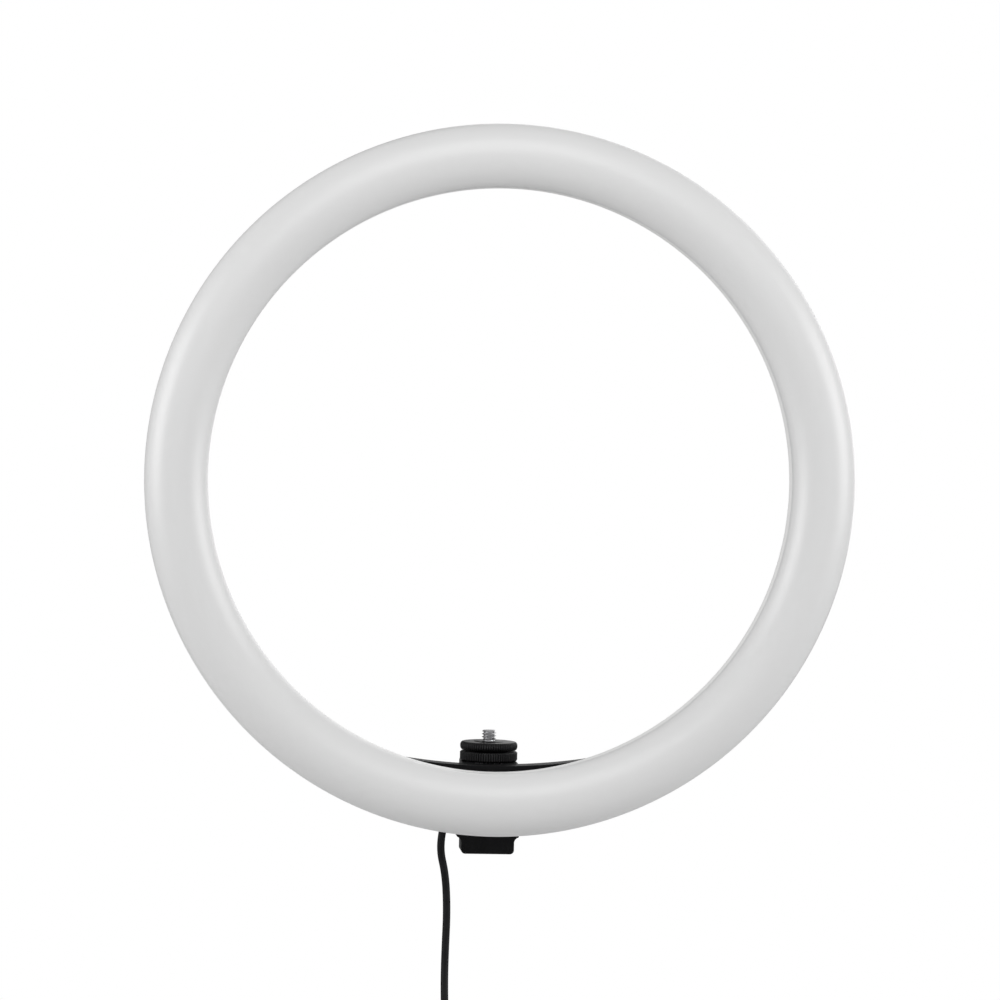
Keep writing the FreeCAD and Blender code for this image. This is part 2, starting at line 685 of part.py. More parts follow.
def housing_body():
    """Front half of the control housing: tray, stepped posts and the holes for wires and cord."""
    outside = arc_slab(0.0, RING_REAR_Y, HOUSING_COVER_Y)
    cavity = arc_slab(HOUSING_WALL, HOUSING_FLOOR_Y, HOUSING_COVER_Y)
    tray = outside.cut(cavity)
    shoulders = housing_posts(POST_SHOULDER_R, HOUSING_FLOOR_Y, CONTROL_BOARD_Y)
    posts = housing_posts(POST_R, HOUSING_FLOOR_Y, HOUSING_COVER_Y)
    holes = [rod(LEADS_HOLE_R, leads_point(RING_REAR_Y), AXIS_Y, HOUSING_WALL)]
    for seat in mount_screw_seats():
        holes.append(screw_hole(seat, AXIS_Y * -1, HOUSING_WALL))
    for seat in bracket_screw_seats() + end_screw_seats():
        start = Vector(seat.x, HOUSING_FLOOR_Y, seat.z)
        holes.append(rod(SCREW_R + SCREW_CLEARANCE, start, AXIS_Y, HOUSING_DEPTH))
    low = housing_z(CORD_X, HOUSING_LOW_R)
    holes.append(rod(BOOT_NECK_R + HOUSING_GAP, Vector(CORD_X, CORD_Y, low - HOUSING_WALL),
                     AXIS_Z, 3 * HOUSING_WALL))
    return joined([tray] + shoulders + posts).cut(Part.makeCompound(holes))


def button_points(y):
    """Centres of the three push buttons."""
    return [housing_point(x, y) for x in BUTTON_X]


def housing_back():
    """Rear cover with a locating rim, the button holes and the dimmer's hole."""
    plate = arc_slab(0.0, HOUSING_COVER_Y, HOUSING_REAR_Y)
    rim_depth = HOUSING_WALL / 2
    rim_outer = arc_slab(HOUSING_WALL + HOUSING_GAP, HOUSING_COVER_Y - rim_depth, HOUSING_COVER_Y)
    rim_wall = HOUSING_WALL + HOUSING_GAP + rim_depth
    rim_inner = arc_slab(rim_wall, HOUSING_COVER_Y - rim_depth, HOUSING_COVER_Y)
    edges = [edge for edge in plate.Edges
             if all(abs(vertex.Y - HOUSING_REAR_Y) < 1e-6 for vertex in edge.Vertexes)]
    plate = plate.makeFillet(HOUSING_EDGE_R, edges)
    holes = []
    for point in button_points(HOUSING_COVER_Y):
        holes.append(rod(BUTTON_R + BUTTON_CLEARANCE, point, AXIS_Y, HOUSING_WALL))
    dimmer = housing_point(DIMMER_X, HOUSING_COVER_Y)
    holes.append(rod(DIMMER_BUSH_R + HOUSING_GAP, dimmer, AXIS_Y, HOUSING_WALL))
    for seat in bracket_screw_seats() + end_screw_seats():
        holes.append(rod(SCREW_R + SCREW_CLEARANCE, Vector(seat.x, HOUSING_COVER_Y, seat.z),
                         AXIS_Y, HOUSING_WALL))
    for seat in end_screw_seats():
        holes.append(head_recess(seat, AXIS_Y * -1, HOUSING_WALL))
    whole = joined([plate, rim_outer.cut(rim_inner)])
    clear = housing_posts(POST_R + HOUSING_GAP, HOUSING_COVER_Y - rim_depth, HOUSING_COVER_Y)
    return whole.cut(Part.makeCompound(holes)).cut(Part.makeCompound(clear))


def mount_screws():
    """Screws from inside the housing into the ring's bosses."""
    length = HOUSING_WALL + SHELL_WALL + MOUNT_BOSS_HEIGHT - SCREW_CLEARANCE
    return Part.makeCompound([pan_screw(seat, AXIS_Y * -1, length) for seat in mount_screw_seats()])


def end_screws():
    """Screws that hold the rear cover at its two ends."""
    return Part.makeCompound([pan_screw(seat, AXIS_Y * -1, SCREW_LENGTH) for seat in end_screw_seats()])


def control_board():
    """Curved board that carries the switches and the dimmer."""
    inset = HOUSING_WALL + CONTROL_BOARD_INSET
    board = arc_slab(inset, CONTROL_BOARD_Y, CONTROL_BOARD_REAR_Y)
    clear = housing_posts(POST_R + HOUSING_GAP, CONTROL_BOARD_Y, CONTROL_BOARD_REAR_Y)
    flange_top = boot_flange_z() + BOOT_FLANGE_THICKNESS + 3 * HOUSING_GAP
    reach = BOOT_FLANGE_R + 3 * HOUSING_GAP
    clear.append(block(Vector(CORD_X - reach, CONTROL_BOARD_Y, 0),
                       Vector(CORD_X + reach, CONTROL_BOARD_REAR_Y, flange_top)))
    return board.cut(Part.makeCompound(clear))


def board_block(x, width, height, depth):
    """One component on the control board's rear face, on the housing's middle arc."""
    middle = housing_point(x, CONTROL_BOARD_REAR_Y)
    low = middle - Vector(width / 2, 0, height / 2)
    return Part.makeBox(width, depth, height, low)


def board_parts():
    """Driver chip, inductor and the block that takes the incoming wires."""
    connector_low = Vector(CORD_X - CONNECTOR_WIDTH / 2, CONTROL_BOARD_REAR_Y, CONNECTOR_Z)
    connector = Part.makeBox(CONNECTOR_WIDTH, CONNECTOR_DEPTH, CONNECTOR_HEIGHT, connector_low)
    return Part.makeCompound([connector, board_block(*CHIP_PACKAGE), board_block(*INDUCTOR)])


def power_leads():
    """The cord's two inner wires, from the strain relief to the board's block."""
    wires = []
    start_z = boot_flange_z() + BOOT_FLANGE_THICKNESS
    for side in (-1, 1):
        lead_x = CORD_X + side * POWER_LEAD_GAP / 2
        start = Vector(lead_x, CONTROL_BOARD_REAR_Y + CONNECTOR_DEPTH / 2, start_z)
        wires.append(rod(POWER_LEAD_R, start, AXIS_Z, CONNECTOR_Z - start_z))
    return Part.makeCompound(wires)


def tact_switches():
    """Three square switches, each with the well that its plunger moves in."""
    switches = []
    half = SWITCH_SIZE / 2
    for point in button_points(CONTROL_BOARD_REAR_Y):
        body = Part.makeBox(SWITCH_SIZE, SWITCH_HEIGHT, SWITCH_SIZE, point - Vector(half, 0, half))
        well_floor = point + AXIS_Y * (SWITCH_HEIGHT - SWITCH_WELL_DEPTH)
        well = rod(SWITCH_WELL_R, well_floor, AXIS_Y, SWITCH_WELL_DEPTH)
        switches.append(body.cut(well))
    return Part.makeCompound(switches)


def push_button(x):
    """A button cap with its retaining flange and its stem, which ends in the switch."""
    middle = housing_point(x, 0)
    top_y = HOUSING_REAR_Y + BUTTON_PROUD
    flange_y = HOUSING_COVER_Y - BUTTON_CLEARANCE - BUTTON_FLANGE_THICKNESS
    stem_y = SWITCH_TOP_Y - BUTTON_STEM_ENTRY
    cap = rod(BUTTON_R, Vector(x, flange_y, middle.z), AXIS_Y, top_y - flange_y)
    rim = [edge for edge in cap.Edges if all(abs(vertex.Y - top_y) < 1e-6 for vertex in edge.Vertexes)]
    cap = cap.makeFillet(BUTTON_PROUD / 2, rim)
    flange = rod(BUTTON_FLANGE_R, Vector(x, flange_y, middle.z), AXIS_Y, BUTTON_FLANGE_THICKNESS)
    stem = rod(BUTTON_STEM_R, Vector(x, stem_y, middle.z), AXIS_Y, flange_y - stem_y)
    return joined([cap, flange, stem])


def dimmer_pot():
    """Rotary control: a square body with a bush that passes through the rear cover."""
    middle = housing_point(DIMMER_X, CONTROL_BOARD_REAR_Y)
    half = DIMMER_BODY / 2
    body = Part.makeBox(DIMMER_BODY, DIMMER_BODY_HEIGHT, DIMMER_BODY, middle - Vector(half, 0, half))
    bush_length = HOUSING_REAR_Y - CONTROL_BOARD_REAR_Y
    bush = rod(DIMMER_BUSH_R, middle, AXIS_Y, bush_length)
    bore = rod(DIMMER_SHAFT_R + RUNNING_CLEARANCE, middle + AXIS_Y * DIMMER_FLOOR, AXIS_Y, bush_length)
    return joined([body, bush]).cut(bore)


def dimmer_shaft():
    """The dimmer's shaft, with a flat where the knob grips it."""
    middle = housing_point(DIMMER_X, CONTROL_BOARD_REAR_Y + DIMMER_FLOOR + RUNNING_CLEARANCE)
    knob_y = HOUSING_REAR_Y + DIMMER_KNOB_GAP
    end_y = knob_y + DIMMER_KNOB_HEIGHT - DIMMER_KNOB_CAP
    shaft = rod(DIMMER_SHAFT_R, middle, AXIS_Y, end_y - middle.y)
    flat_z = middle.z + DIMMER_SHAFT_R - DIMMER_FLAT
    flat = block(Vector(DIMMER_X - DIMMER_SHAFT_R, knob_y, flat_z),
                 Vector(DIMMER_X + DIMMER_SHAFT_R, end_y, middle.z + DIMMER_SHAFT_R))
    return shaft.cut(flat)


def dimmer_knob():
    """Gripped cap of the dimmer, with a pointer groove and a flatted bore."""
    base_y = HOUSING_REAR_Y + DIMMER_KNOB_GAP
    middle = housing_point(DIMMER_X, base_y)
    groove_r = DIMMER_KNOB_R - DIMMER_GRIP_DEPTH
    outline = rim_polygon(DIMMER_GRIPS, DIMMER_KNOB_R, groove_r, middle, AXIS_X, AXIS_Z)
    knob = outline.extrude(AXIS_Y * DIMMER_KNOB_HEIGHT)
    crown = Part.makeCone(DIMMER_KNOB_R + DIMMER_KNOB_TAPER, DIMMER_KNOB_R - DIMMER_KNOB_TAPER,
                          DIMMER_KNOB_HEIGHT, middle, AXIS_Y)
    knob = knob.common(crown)
    bore_length = DIMMER_KNOB_HEIGHT - DIMMER_KNOB_CAP + BUSH_CLEARANCE
    bore_r = DIMMER_SHAFT_R + BUSH_CLEARANCE
    bore = rod(bore_r, middle, AXIS_Y, bore_length)
    flat_z = middle.z + bore_r - DIMMER_FLAT
    flat = block(Vector(DIMMER_X - bore_r, base_y, flat_z),
                 Vector(DIMMER_X + bore_r, base_y + bore_length, middle.z + bore_r))
    top_y = base_y + DIMMER_KNOB_HEIGHT
    pointer = block(Vector(DIMMER_X - POINTER_WIDTH / 2, top_y - POINTER_DEPTH, middle.z + POINTER_START),
                    Vector(DIMMER_X + POINTER_WIDTH / 2, top_y, middle.z + DIMMER_KNOB_R))
    return knob.cut(bore.cut(flat)).cut(pointer)


# Bracket and cold shoe

def head_bracket():
    """One moulding: flange on the housing, platform for the shoe, tongue of the tilt joint."""
    flange = block(Vector(-FLANGE_HALF_WIDTH, HOUSING_REAR_Y, FLANGE_BOTTOM_Z),
                   Vector(FLANGE_HALF_WIDTH, FLANGE_REAR_Y, SHOE_BOTTOM_Z))
    long_edges = [edge for edge in flange.Edges
                  if abs(edge.Vertexes[0].Y - edge.Vertexes[-1].Y) > FLANGE_THICKNESS / 2]
    low_edges = [edge for edge in long_edges if edge.Vertexes[0].Z < FLANGE_BOTTOM_Z + FLANGE_CORNER_R]
    flange = flange.makeFillet(FLANGE_CORNER_R, low_edges)
    platform = block(Vector(-PLATFORM_HALF_WIDTH, HOUSING_REAR_Y, PLATFORM_BOTTOM_Z),
                     Vector(PLATFORM_HALF_WIDTH, PLATFORM_REAR_Y, SHOE_BOTTOM_Z))
    rear = [edge for edge in platform.Edges
            if all(abs(vertex.Y - PLATFORM_REAR_Y) < 1e-6 for vertex in edge.Vertexes)
            and abs(edge.Vertexes[0].X - edge.Vertexes[-1].X) < 1e-6]
    platform = platform.makeFillet(PLATFORM_CORNER_R, rear)
    left = -TONGUE_HALF_WIDTH
    front_drop = math.sqrt(TONGUE_R ** 2 - TONGUE_WEB_REAR_Y ** 2)
    centre = TILT_CENTRE + AXIS_X * left
    start = centre + Vector(0, TONGUE_WEB_REAR_Y, front_drop)
    bottom = centre + Vector(0, 0, -TONGUE_R)
    front = centre + Vector(0, -TONGUE_R, 0)
    flange_low = Vector(left, HOUSING_REAR_Y, FLANGE_BOTTOM_Z + BRACKET_OVERLAP)
    top_z = SHOE_BOTTOM_Z - BRACKET_OVERLAP
    web = profile_face([start, (centre + Vector(0, TONGUE_R, 0), bottom),
                        (centre + Vector(0, -TONGUE_R, -TONGUE_R) * SLANT, front),
                        flange_low,
                        Vector(left, HOUSING_REAR_Y, top_z),
                        Vector(left, TONGUE_WEB_REAR_Y, top_z)])
    tongue = web.extrude(AXIS_X * (2 * TONGUE_HALF_WIDTH))
    whole = joined([flange, platform, tongue])
    holes = [rod(BOLT_R + BOLT_CLEARANCE, TILT_CENTRE - AXIS_X * EAR_HALF_WIDTH, AXIS_X, 2 * EAR_HALF_WIDTH)]
    for seat in bracket_screw_seats():
        holes.append(screw_hole(seat, AXIS_Y * -1, FLANGE_THICKNESS))
        holes.append(head_recess(seat, AXIS_Y * -1, FLANGE_THICKNESS))
    for seat in shoe_screw_seats():
        holes.append(screw_hole(seat, AXIS_Z * -1, SHOE_SCREW_LENGTH + SCREW_CLEARANCE))
    return whole.cut(Part.makeCompound(holes))


def bracket_screws():
    """Screws through the bracket's flange and the rear cover into the housing's posts."""
    return Part.makeCompound([pan_screw(seat, AXIS_Y * -1, SCREW_LENGTH) for seat in bracket_screw_seats()])


def shoe_screw_seats():
    """Heads of the two screws in the shoe's floor, flush with it."""
    return [Vector(0, side * SHOE_SCREW_Y, SHOE_SLOT_BOTTOM_Z) for side in (-1, 1)]


def countersunk_screw(seat, length):
    """A flat-head screw pointing down, its face level with the seat."""
    head = Part.makeCone(SCREW_R, SCREW_R + SHOE_SCREW_HEAD, SHOE_SCREW_HEAD,
                         seat - AXIS_Z * SHOE_SCREW_HEAD, AXIS_Z)
    shank = rod(SCREW_R, seat - AXIS_Z * length, AXIS_Z, length - SHOE_SCREW_HEAD)
    return joined([head, shank])


def cold_shoe():
    """Metal channel: floor, two side walls, two rails that turn inwards and a front stop."""
    half = SHOE_SLOT_WIDTH / 2 + SHOE_SIDE_WALL
    rear = SHOE_FRONT_Y + SHOE_LENGTH
    body = block(Vector(-half, SHOE_FRONT_Y, SHOE_BOTTOM_Z), Vector(half, rear, SHOE_TOP_Z))
    body = body.makeFillet(SHOE_CORNER_R, upright_edges(body, SHOE_SLOT_HEIGHT))
    slot = block(Vector(-SHOE_SLOT_WIDTH / 2, SHOE_FRONT_Y + SHOE_STOP, SHOE_SLOT_BOTTOM_Z),
                 Vector(SHOE_SLOT_WIDTH / 2, rear, SHOE_SLOT_TOP_Z))
    mouth_r = SHOE_MOUTH_WIDTH / 2
    mouth = block(Vector(-mouth_r, 0, SHOE_SLOT_TOP_Z), Vector(mouth_r, SHOE_LENGTH, SHOE_TOP_Z))
    mouth_end = rod(mouth_r, Vector(0, 0, SHOE_SLOT_TOP_Z), AXIS_Z, SHOE_RAIL_THICKNESS)
    cuts = [slot, mouth, mouth_end]
    for seat in shoe_screw_seats():
        cuts.append(rod(SCREW_R + SCREW_CLEARANCE, seat - AXIS_Z * SHOE_FLOOR, AXIS_Z, SHOE_FLOOR))
        cuts.append(Part.makeCone(SCREW_R + SCREW_CLEARANCE, SCREW_R + SHOE_SCREW_HEAD + SCREW_CLEARANCE,
                                  SHOE_SCREW_HEAD, seat - AXIS_Z * SHOE_SCREW_HEAD, AXIS_Z))
    for cut in cuts:
        body = body.cut(cut)
    return body


def shoe_screws():
    """Flat-head screws that hold the shoe on the bracket."""
    return Part.makeCompound([countersunk_screw(seat, SHOE_SCREW_LENGTH) for seat in shoe_screw_seats()])


def shoe_plate():
    """Square sliding plate of the adapter, with the collar that passes between the rails."""
    half = ADAPTER_PLATE_WIDTH / 2
    bottom = SHOE_SLOT_BOTTOM_Z + RUNNING_CLEARANCE
    front = SHOE_FRONT_Y + SHOE_STOP + RUNNING_CLEARANCE
    plate = block(Vector(-half, front, bottom),
                  Vector(half, front + ADAPTER_PLATE_LENGTH, bottom + ADAPTER_PLATE_THICKNESS))
    plate = plate.makeFillet(ADAPTER_CORNER_R, upright_edges(plate, ADAPTER_PLATE_THICKNESS / 2))
    collar = rod(ADAPTER_COLLAR_R, Vector(0, 0, bottom), AXIS_Z, LOWER_WHEEL_Z - RUNNING_CLEARANCE - bottom)
    hole = rod(STUD_PITCH_R + BUSH_CLEARANCE, Vector(0, 0, bottom), AXIS_Z, UPPER_WHEEL_Z)
    return joined([plate, collar]).cut(hole)


def washer_z(outer_r, inner_r, bottom_z, thickness):
    """A ring round the Z axis."""
    bottom = Vector(0, 0, bottom_z)
    return rod(outer_r, bottom, AXIS_Z, thickness).cut(rod(inner_r, bottom, AXIS_Z, thickness))


def top_stud():
    """Steel stud: full size where it stands free, and drawn at the thread's pitch inside the wheels."""
    bottom = SHOE_SLOT_BOTTOM_Z + RUNNING_CLEARANCE
    free_z = UPPER_WHEEL_TOP_Z + WHEEL_HUB_RISE + STUD_RELIEF
    tip_z = STUD_TOP_Z - STUD_TIP_CHAMFER
    shank = rod(STUD_PITCH_R, Vector(0, 0, bottom), AXIS_Z, free_z - bottom)
    free_end = rod(STUD_R, Vector(0, 0, free_z), AXIS_Z, tip_z - free_z)
    tip = Part.makeCone(STUD_R, STUD_R - STUD_TIP_CHAMFER, STUD_TIP_CHAMFER, Vector(0, 0, tip_z), AXIS_Z)
    return joined([shank, free_end, tip])


def wheel_section(low, high, beaded):
    """Half section of a thumb wheel: its rim is a round bead, or flat between two bevels."""
    rim = [Vector(WHEEL_R - WHEEL_EDGE, 0, low), Vector(WHEEL_R, 0, low + WHEEL_EDGE),
           Vector(WHEEL_R, 0, high - WHEEL_EDGE), Vector(WHEEL_R - WHEEL_EDGE, 0, high)]
    if beaded:
        shoulder = WHEEL_R - WHEEL_BEAD
        rim = [Vector(shoulder, 0, low), (Vector(WHEEL_R, 0, (low + high) / 2), Vector(shoulder, 0, high))]
    return profile_face([Vector(0, 0, low)] + rim + [Vector(0, 0, high)])


def knurled_wheel(bottom_z, thickness, beaded):
    """A thumb wheel: V-grooved rim, a raised hub, and a bore widened at its mouth."""
    centre = Vector(0, 0, bottom_z)
    high = bottom_z + thickness
    outline = rim_polygon(KNURL_COUNT, WHEEL_R, WHEEL_R - KNURL_DEPTH, centre, AXIS_X, AXIS_Y)
    disc = outline.extrude(AXIS_Z * thickness)
    disc = disc.common(wheel_section(bottom_z, high, beaded).revolve(Vector(0, 0, 0), AXIS_Z, 360))
    hub = rod(WHEEL_HUB_R, Vector(0, 0, high - WHEEL_HUB_RISE), AXIS_Z, 2 * WHEEL_HUB_RISE)
    bore = rod(STUD_PITCH_R + RUNNING_CLEARANCE, centre, AXIS_Z, thickness + TOOL_REACH)
    mouth_z = high + WHEEL_HUB_RISE - WHEEL_MOUTH_DEPTH
    mouth = rod(STUD_R + RUNNING_CLEARANCE, Vector(0, 0, mouth_z), AXIS_Z, WHEEL_MOUTH_DEPTH)
    return disc.fuse(hub).cut(bore).cut(mouth)


# Foot and tilt joint

def foot_front_outline():
    """Foot seen from the front: flat bottom, round corners, and shoulders that spread to the ears."""
    half = FOOT_HALF_WIDTH
    ear = EAR_HALF_WIDTH
    corner = FOOT_CORNER_R
    spread = FOOT_SHOULDER_R
    top = TILT_AXIS_Z + EAR_R
    step = spread * (1 - SLANT)

    def at(x, z):
        return Vector(x, -FOOT_HALF_DEPTH - EAR_R, z)

    right = [at(half - corner, 0),
             (at(half - corner * (1 - SLANT), corner * (1 - SLANT)), at(half, corner)),
             at(half, FOOT_SHOULDER_Z - spread),
             (at(half + step, FOOT_SHOULDER_Z - step), at(min(half + spread, ear), FOOT_SHOULDER_Z)),
             at(ear, FOOT_SHOULDER_Z + (ear - half)),
             at(ear, top)]
    left = [at(-ear, top),
            at(-ear, FOOT_SHOULDER_Z + (ear - half)),
            at(-min(half + spread, ear), FOOT_SHOULDER_Z),
            (at(-half - step, FOOT_SHOULDER_Z - step), at(-half, FOOT_SHOULDER_Z - spread)),
            at(-half, corner),
            (at(-half + corner * (1 - SLANT), corner * (1 - SLANT)), at(corner - half, 0))]
    return profile_face(right + left)


def foot_side_outline():
    """Foot seen from the side: straight sides that run on to the round of the ears."""
    lift = math.asin(FOOT_HALF_DEPTH / EAR_R)
    join_z = TILT_AXIS_Z - EAR_R * math.cos(lift)
    x = -EAR_HALF_WIDTH - TOOL_REACH

    def at(y, z):
        return Vector(x, y, z)

    return profile_face([at(-FOOT_HALF_DEPTH, 0), at(FOOT_HALF_DEPTH, 0), at(FOOT_HALF_DEPTH, join_z),
                         (at(EAR_R, TILT_AXIS_Z), at(0, TILT_AXIS_Z + EAR_R)),
                         (at(-EAR_R, TILT_AXIS_Z), at(-FOOT_HALF_DEPTH, join_z))])


def foot_clevis():
    """Foot with two ears, the pocket for the threaded bush and the recess for the bolt's head."""
    front = foot_front_outline().extrude(AXIS_Y * (2 * (FOOT_HALF_DEPTH + EAR_R)))
    side = foot_side_outline().extrude(AXIS_X * (2 * (EAR_HALF_WIDTH + TOOL_REACH)))
    body = front.common(side)
    slot = block(Vector(-EAR_INNER_X, -2 * EAR_R, FOOT_SLOT_BOTTOM_Z),
                 Vector(EAR_INNER_X, 2 * EAR_R, TILT_AXIS_Z + 2 * EAR_R))
    pocket = rod(THREAD_R + BUSH_WALL, Vector(0, 0, 0), AXIS_Z, THREAD_LENGTH)
    pin_hole = rod(BOLT_R + BOLT_CLEARANCE, TILT_CENTRE - AXIS_X * (2 * EAR_HALF_WIDTH),
                   AXIS_X, 4 * EAR_HALF_WIDTH)
    recess = hexagon(BOLT_HEAD_AF + HEX_CLEARANCE, TILT_CENTRE - AXIS_X * EAR_HALF_WIDTH,
                     AXIS_X, BOLT_HEAD_RECESS)
    for cut in (slot, pocket, pin_hole, recess):
        body = body.cut(cut)
    return body


def thread_bush():
    """Brass bush with the tripod thread, grooved outside so that it holds in the foot."""
    outer = THREAD_R + BUSH_WALL - BUSH_CLEARANCE
    body = rod(outer, Vector(0, 0, 0), AXIS_Z, THREAD_LENGTH)
    bore = rod(THREAD_R, Vector(0, 0, 0), AXIS_Z, THREAD_LENGTH)
    groove = washer_z(outer + TOOL_REACH, outer - BUSH_GROOVE_DEPTH,
                      (THREAD_LENGTH - BUSH_GROOVE_WIDTH) / 2, BUSH_GROOVE_WIDTH)
    return body.cut(bore).cut(groove)


def tilt_bolt():
    """Hexagon bolt on which the head tilts."""
    head_x = -EAR_HALF_WIDTH + BOLT_HEAD_RECESS - BOLT_HEAD_THICKNESS
    start = TILT_CENTRE + AXIS_X * head_x
    head = hexagon(BOLT_HEAD_AF, start, AXIS_X, BOLT_HEAD_THICKNESS)
    shank = rod(BOLT_R, start, AXIS_X, KNOB_END_X - KNOB_CAP - BOLT_END_GAP - head_x)
    return joined([head, shank])


def washer(outer_r, thickness, start):
    """A flat washer on the tilt bolt."""
    disc = rod(outer_r, start, AXIS_X, thickness)
    return disc.cut(rod(BOLT_R + BOLT_CLEARANCE, start, AXIS_X, thickness))


def friction_washers():
    """Two washers that fill the gaps between the tongue and the ears."""
    right = washer(FRICTION_WASHER_R, EAR_GAP, TILT_CENTRE + AXIS_X * TONGUE_HALF_WIDTH)
    left = washer(FRICTION_WASHER_R, EAR_GAP, TILT_CENTRE - AXIS_X * EAR_INNER_X)
    return Part.makeCompound([right, left])


def knob_washer():
    """Steel washer between the knob and the foot."""
    return washer(KNOB_WASHER_R, KNOB_WASHER_THICKNESS, TILT_CENTRE + AXIS_X * KNOB_WASHER_X)


def tilt_knob():
    """Clamping knob: a boss, a scalloped grip with rounded edges, and a pocket for its nut."""
    boss = rod(KNOB_BOSS_R, TILT_CENTRE + AXIS_X * KNOB_START_X, AXIS_X, KNOB_BOSS_LENGTH)
    grip_start = TILT_CENTRE + AXIS_X * (KNOB_START_X + KNOB_BOSS_LENGTH)
    grip = rod(KNOB_R, grip_start, AXIS_X, KNOB_LENGTH)
    grip = grip.makeFillet(KNOB_EDGE_R, [edge for edge in grip.Edges if len(edge.Vertexes) == 1])
    for index in range(KNOB_SCALLOPS):
        angle = 2 * math.pi * index / KNOB_SCALLOPS
        reach = KNOB_R + KNOB_SCALLOP_R - KNOB_SCALLOP_DEPTH
        aside = Vector(0, reach * math.cos(angle), reach * math.sin(angle))
        grip = grip.cut(rod(KNOB_SCALLOP_R, grip_start + aside, AXIS_X, KNOB_LENGTH))
    bore_length = KNOB_END_X - KNOB_CAP - KNOB_START_X
    bore = rod(BOLT_R + BOLT_CLEARANCE, TILT_CENTRE + AXIS_X * KNOB_START_X, AXIS_X, bore_length)
    pocket = hexagon(BOLT_HEAD_AF + HEX_CLEARANCE, TILT_CENTRE + AXIS_X * KNOB_START_X,
                     AXIS_X, KNOB_NUT_THICKNESS)
    return joined([boss, grip]).cut(bore).cut(pocket)


def tilt_knob_nut():
    """Steel nut held in the knob's pocket."""
    start = TILT_CENTRE + AXIS_X * KNOB_START_X
    nut = hexagon(BOLT_HEAD_AF, start, AXIS_X, KNOB_NUT_THICKNESS)
    return nut.cut(rod(BOLT_R + BOLT_CLEARANCE, start, AXIS_X, KNOB_NUT_THICKNESS))


# Cord

def boot_flange_z():
    """Underside of the strain relief's inner flange, on the housing's inner wall."""
    return housing_z(CORD_X - BOOT_FLANGE_R, HOUSING_LOW_R - HOUSING_WALL) + HOUSING_GAP


def cord_boot():
    """Strain relief: inner flange, neck through the wall, and a ribbed taper below it."""
    flange_z = boot_flange_z()
    outside_z = housing_z(CORD_X, HOUSING_LOW_R) - 4 * HOUSING_GAP
    centre = Vector(CORD_X, CORD_Y, 0)
    flange = rod(BOOT_FLANGE_R, centre + AXIS_Z * flange_z, AXIS_Z, BOOT_FLANGE_THICKNESS)
    flange = flange.common(block(Vector(CORD_X - BOOT_FLANGE_R, CORD_Y - BOOT_FLANGE_HALF_DEPTH, flange_z),
                                 Vector(CORD_X + BOOT_FLANGE_R, CORD_Y + BOOT_FLANGE_HALF_DEPTH,
                                        flange_z + BOOT_FLANGE_THICKNESS)))
    neck = rod(BOOT_NECK_R, centre + AXIS_Z * outside_z, AXIS_Z, flange_z - outside_z)
    taper_end = centre + AXIS_Z * BOOT_END_Z
    taper = Part.makeCone(BOOT_END_R, BOOT_TOP_R, outside_z - BOOT_END_Z, taper_end, AXIS_Z)
    step = (outside_z - BOOT_END_Z) / (BOOT_GROOVES + 1)
    for index in range(1, BOOT_GROOVES + 1):
        low_z = BOOT_END_Z + step * index - BOOT_GROOVE_WIDTH / 2
        groove = washer_z(BOOT_TOP_R + TOOL_REACH, BOOT_CORE_R, low_z, BOOT_GROOVE_WIDTH)
        groove.translate(centre)
        taper = taper.cut(groove)
    return joined([flange, neck, taper])


def arc_edge(start, apex, end):
    """The arc from start to end that is tangent to the lines through the apex."""
    middle = (start + end) / 2
    half_chord = start.distanceToPoint(end) / 2
    leg = start.distanceToPoint(apex)
    cosine = half_chord / leg
    if cosine > 1 - 1e-9:
        return Part.LineSegment(start, end).toShape()
    on_arc = middle + (apex - middle) * (cosine / (1 + cosine))
    return Part.Arc(start, on_arc, end).toShape()


def route_wire(route, name):
    """Straight runs joined by tangent arcs, each as large as its two runs allow."""
    points = [Vector(*place) for place in route]
    edges = []
    radii = []
    here = points[0]
    for before, apex, after in zip(points, points[1:], points[2:]):
        back = (before - apex).normalize()
        ahead = (after - apex).normalize()
        run = min(before.distanceToPoint(apex), after.distanceToPoint(apex))
        reach = ARC_SHARE * run
        turn = math.pi - back.getAngle(ahead)
        radii.append(round(reach / math.tan(turn / 2), 1))
        start = apex + back * reach
        end = apex + ahead * reach
        edges.append(Part.LineSegment(here, start).toShape())
        edges.append(arc_edge(start, apex, end))
        here = end
    edges.append(Part.LineSegment(here, points[-1]).toShape())
    print(name, "bend radii in mm", radii)
    return Part.Wire(edges)


def tube(wire, start, direction, name):
    """The cord's round section carried along a path."""
    section = Part.Wire(Part.makeCircle(CORD_R, start, direction))
    solid = wire.makePipeShell([section], True, False)
    expected = math.pi * CORD_R ** 2 * wire.Length
    print(name, "length", round(wire.Length, 2), "volume ratio", round(solid.Volume / expected, 5))
    return solid


def cord_stretch(route, name):
    """One free stretch of the cord."""
    wire = route_wire(route, name)
    start = Vector(*route[0])
    return tube(wire, start, Vector(*route[1]) - start, name)


def coil_centre_line(turn):
    """Point of the coil after this many turns: it winds in and out again, layer by layer."""
    per_layer = COIL_TURNS / COIL_LAYERS
    outer = COIL_MEAN_R + COIL_PITCH * per_layer / 2
    phase = (turn / per_layer) % 2
    inward = phase if phase <= 1 else 2 - phase
    radius = outer - COIL_PITCH * per_layer * inward
    layer = 0.0
    for index in range(1, COIL_LAYERS):
        climb = (turn - per_layer * index) * 2 + 0.5
        climb = min(max(climb, 0.0), 1.0)
        layer += climb * climb * (3 - 2 * climb)
    angle = math.radians(COIL_START_ANGLE + 360 * turn)
    return Vector(COIL_X - COIL_PITCH * layer, COIL_Y + radius * math.cos(angle),
                  COIL_Z + radius * math.sin(angle))


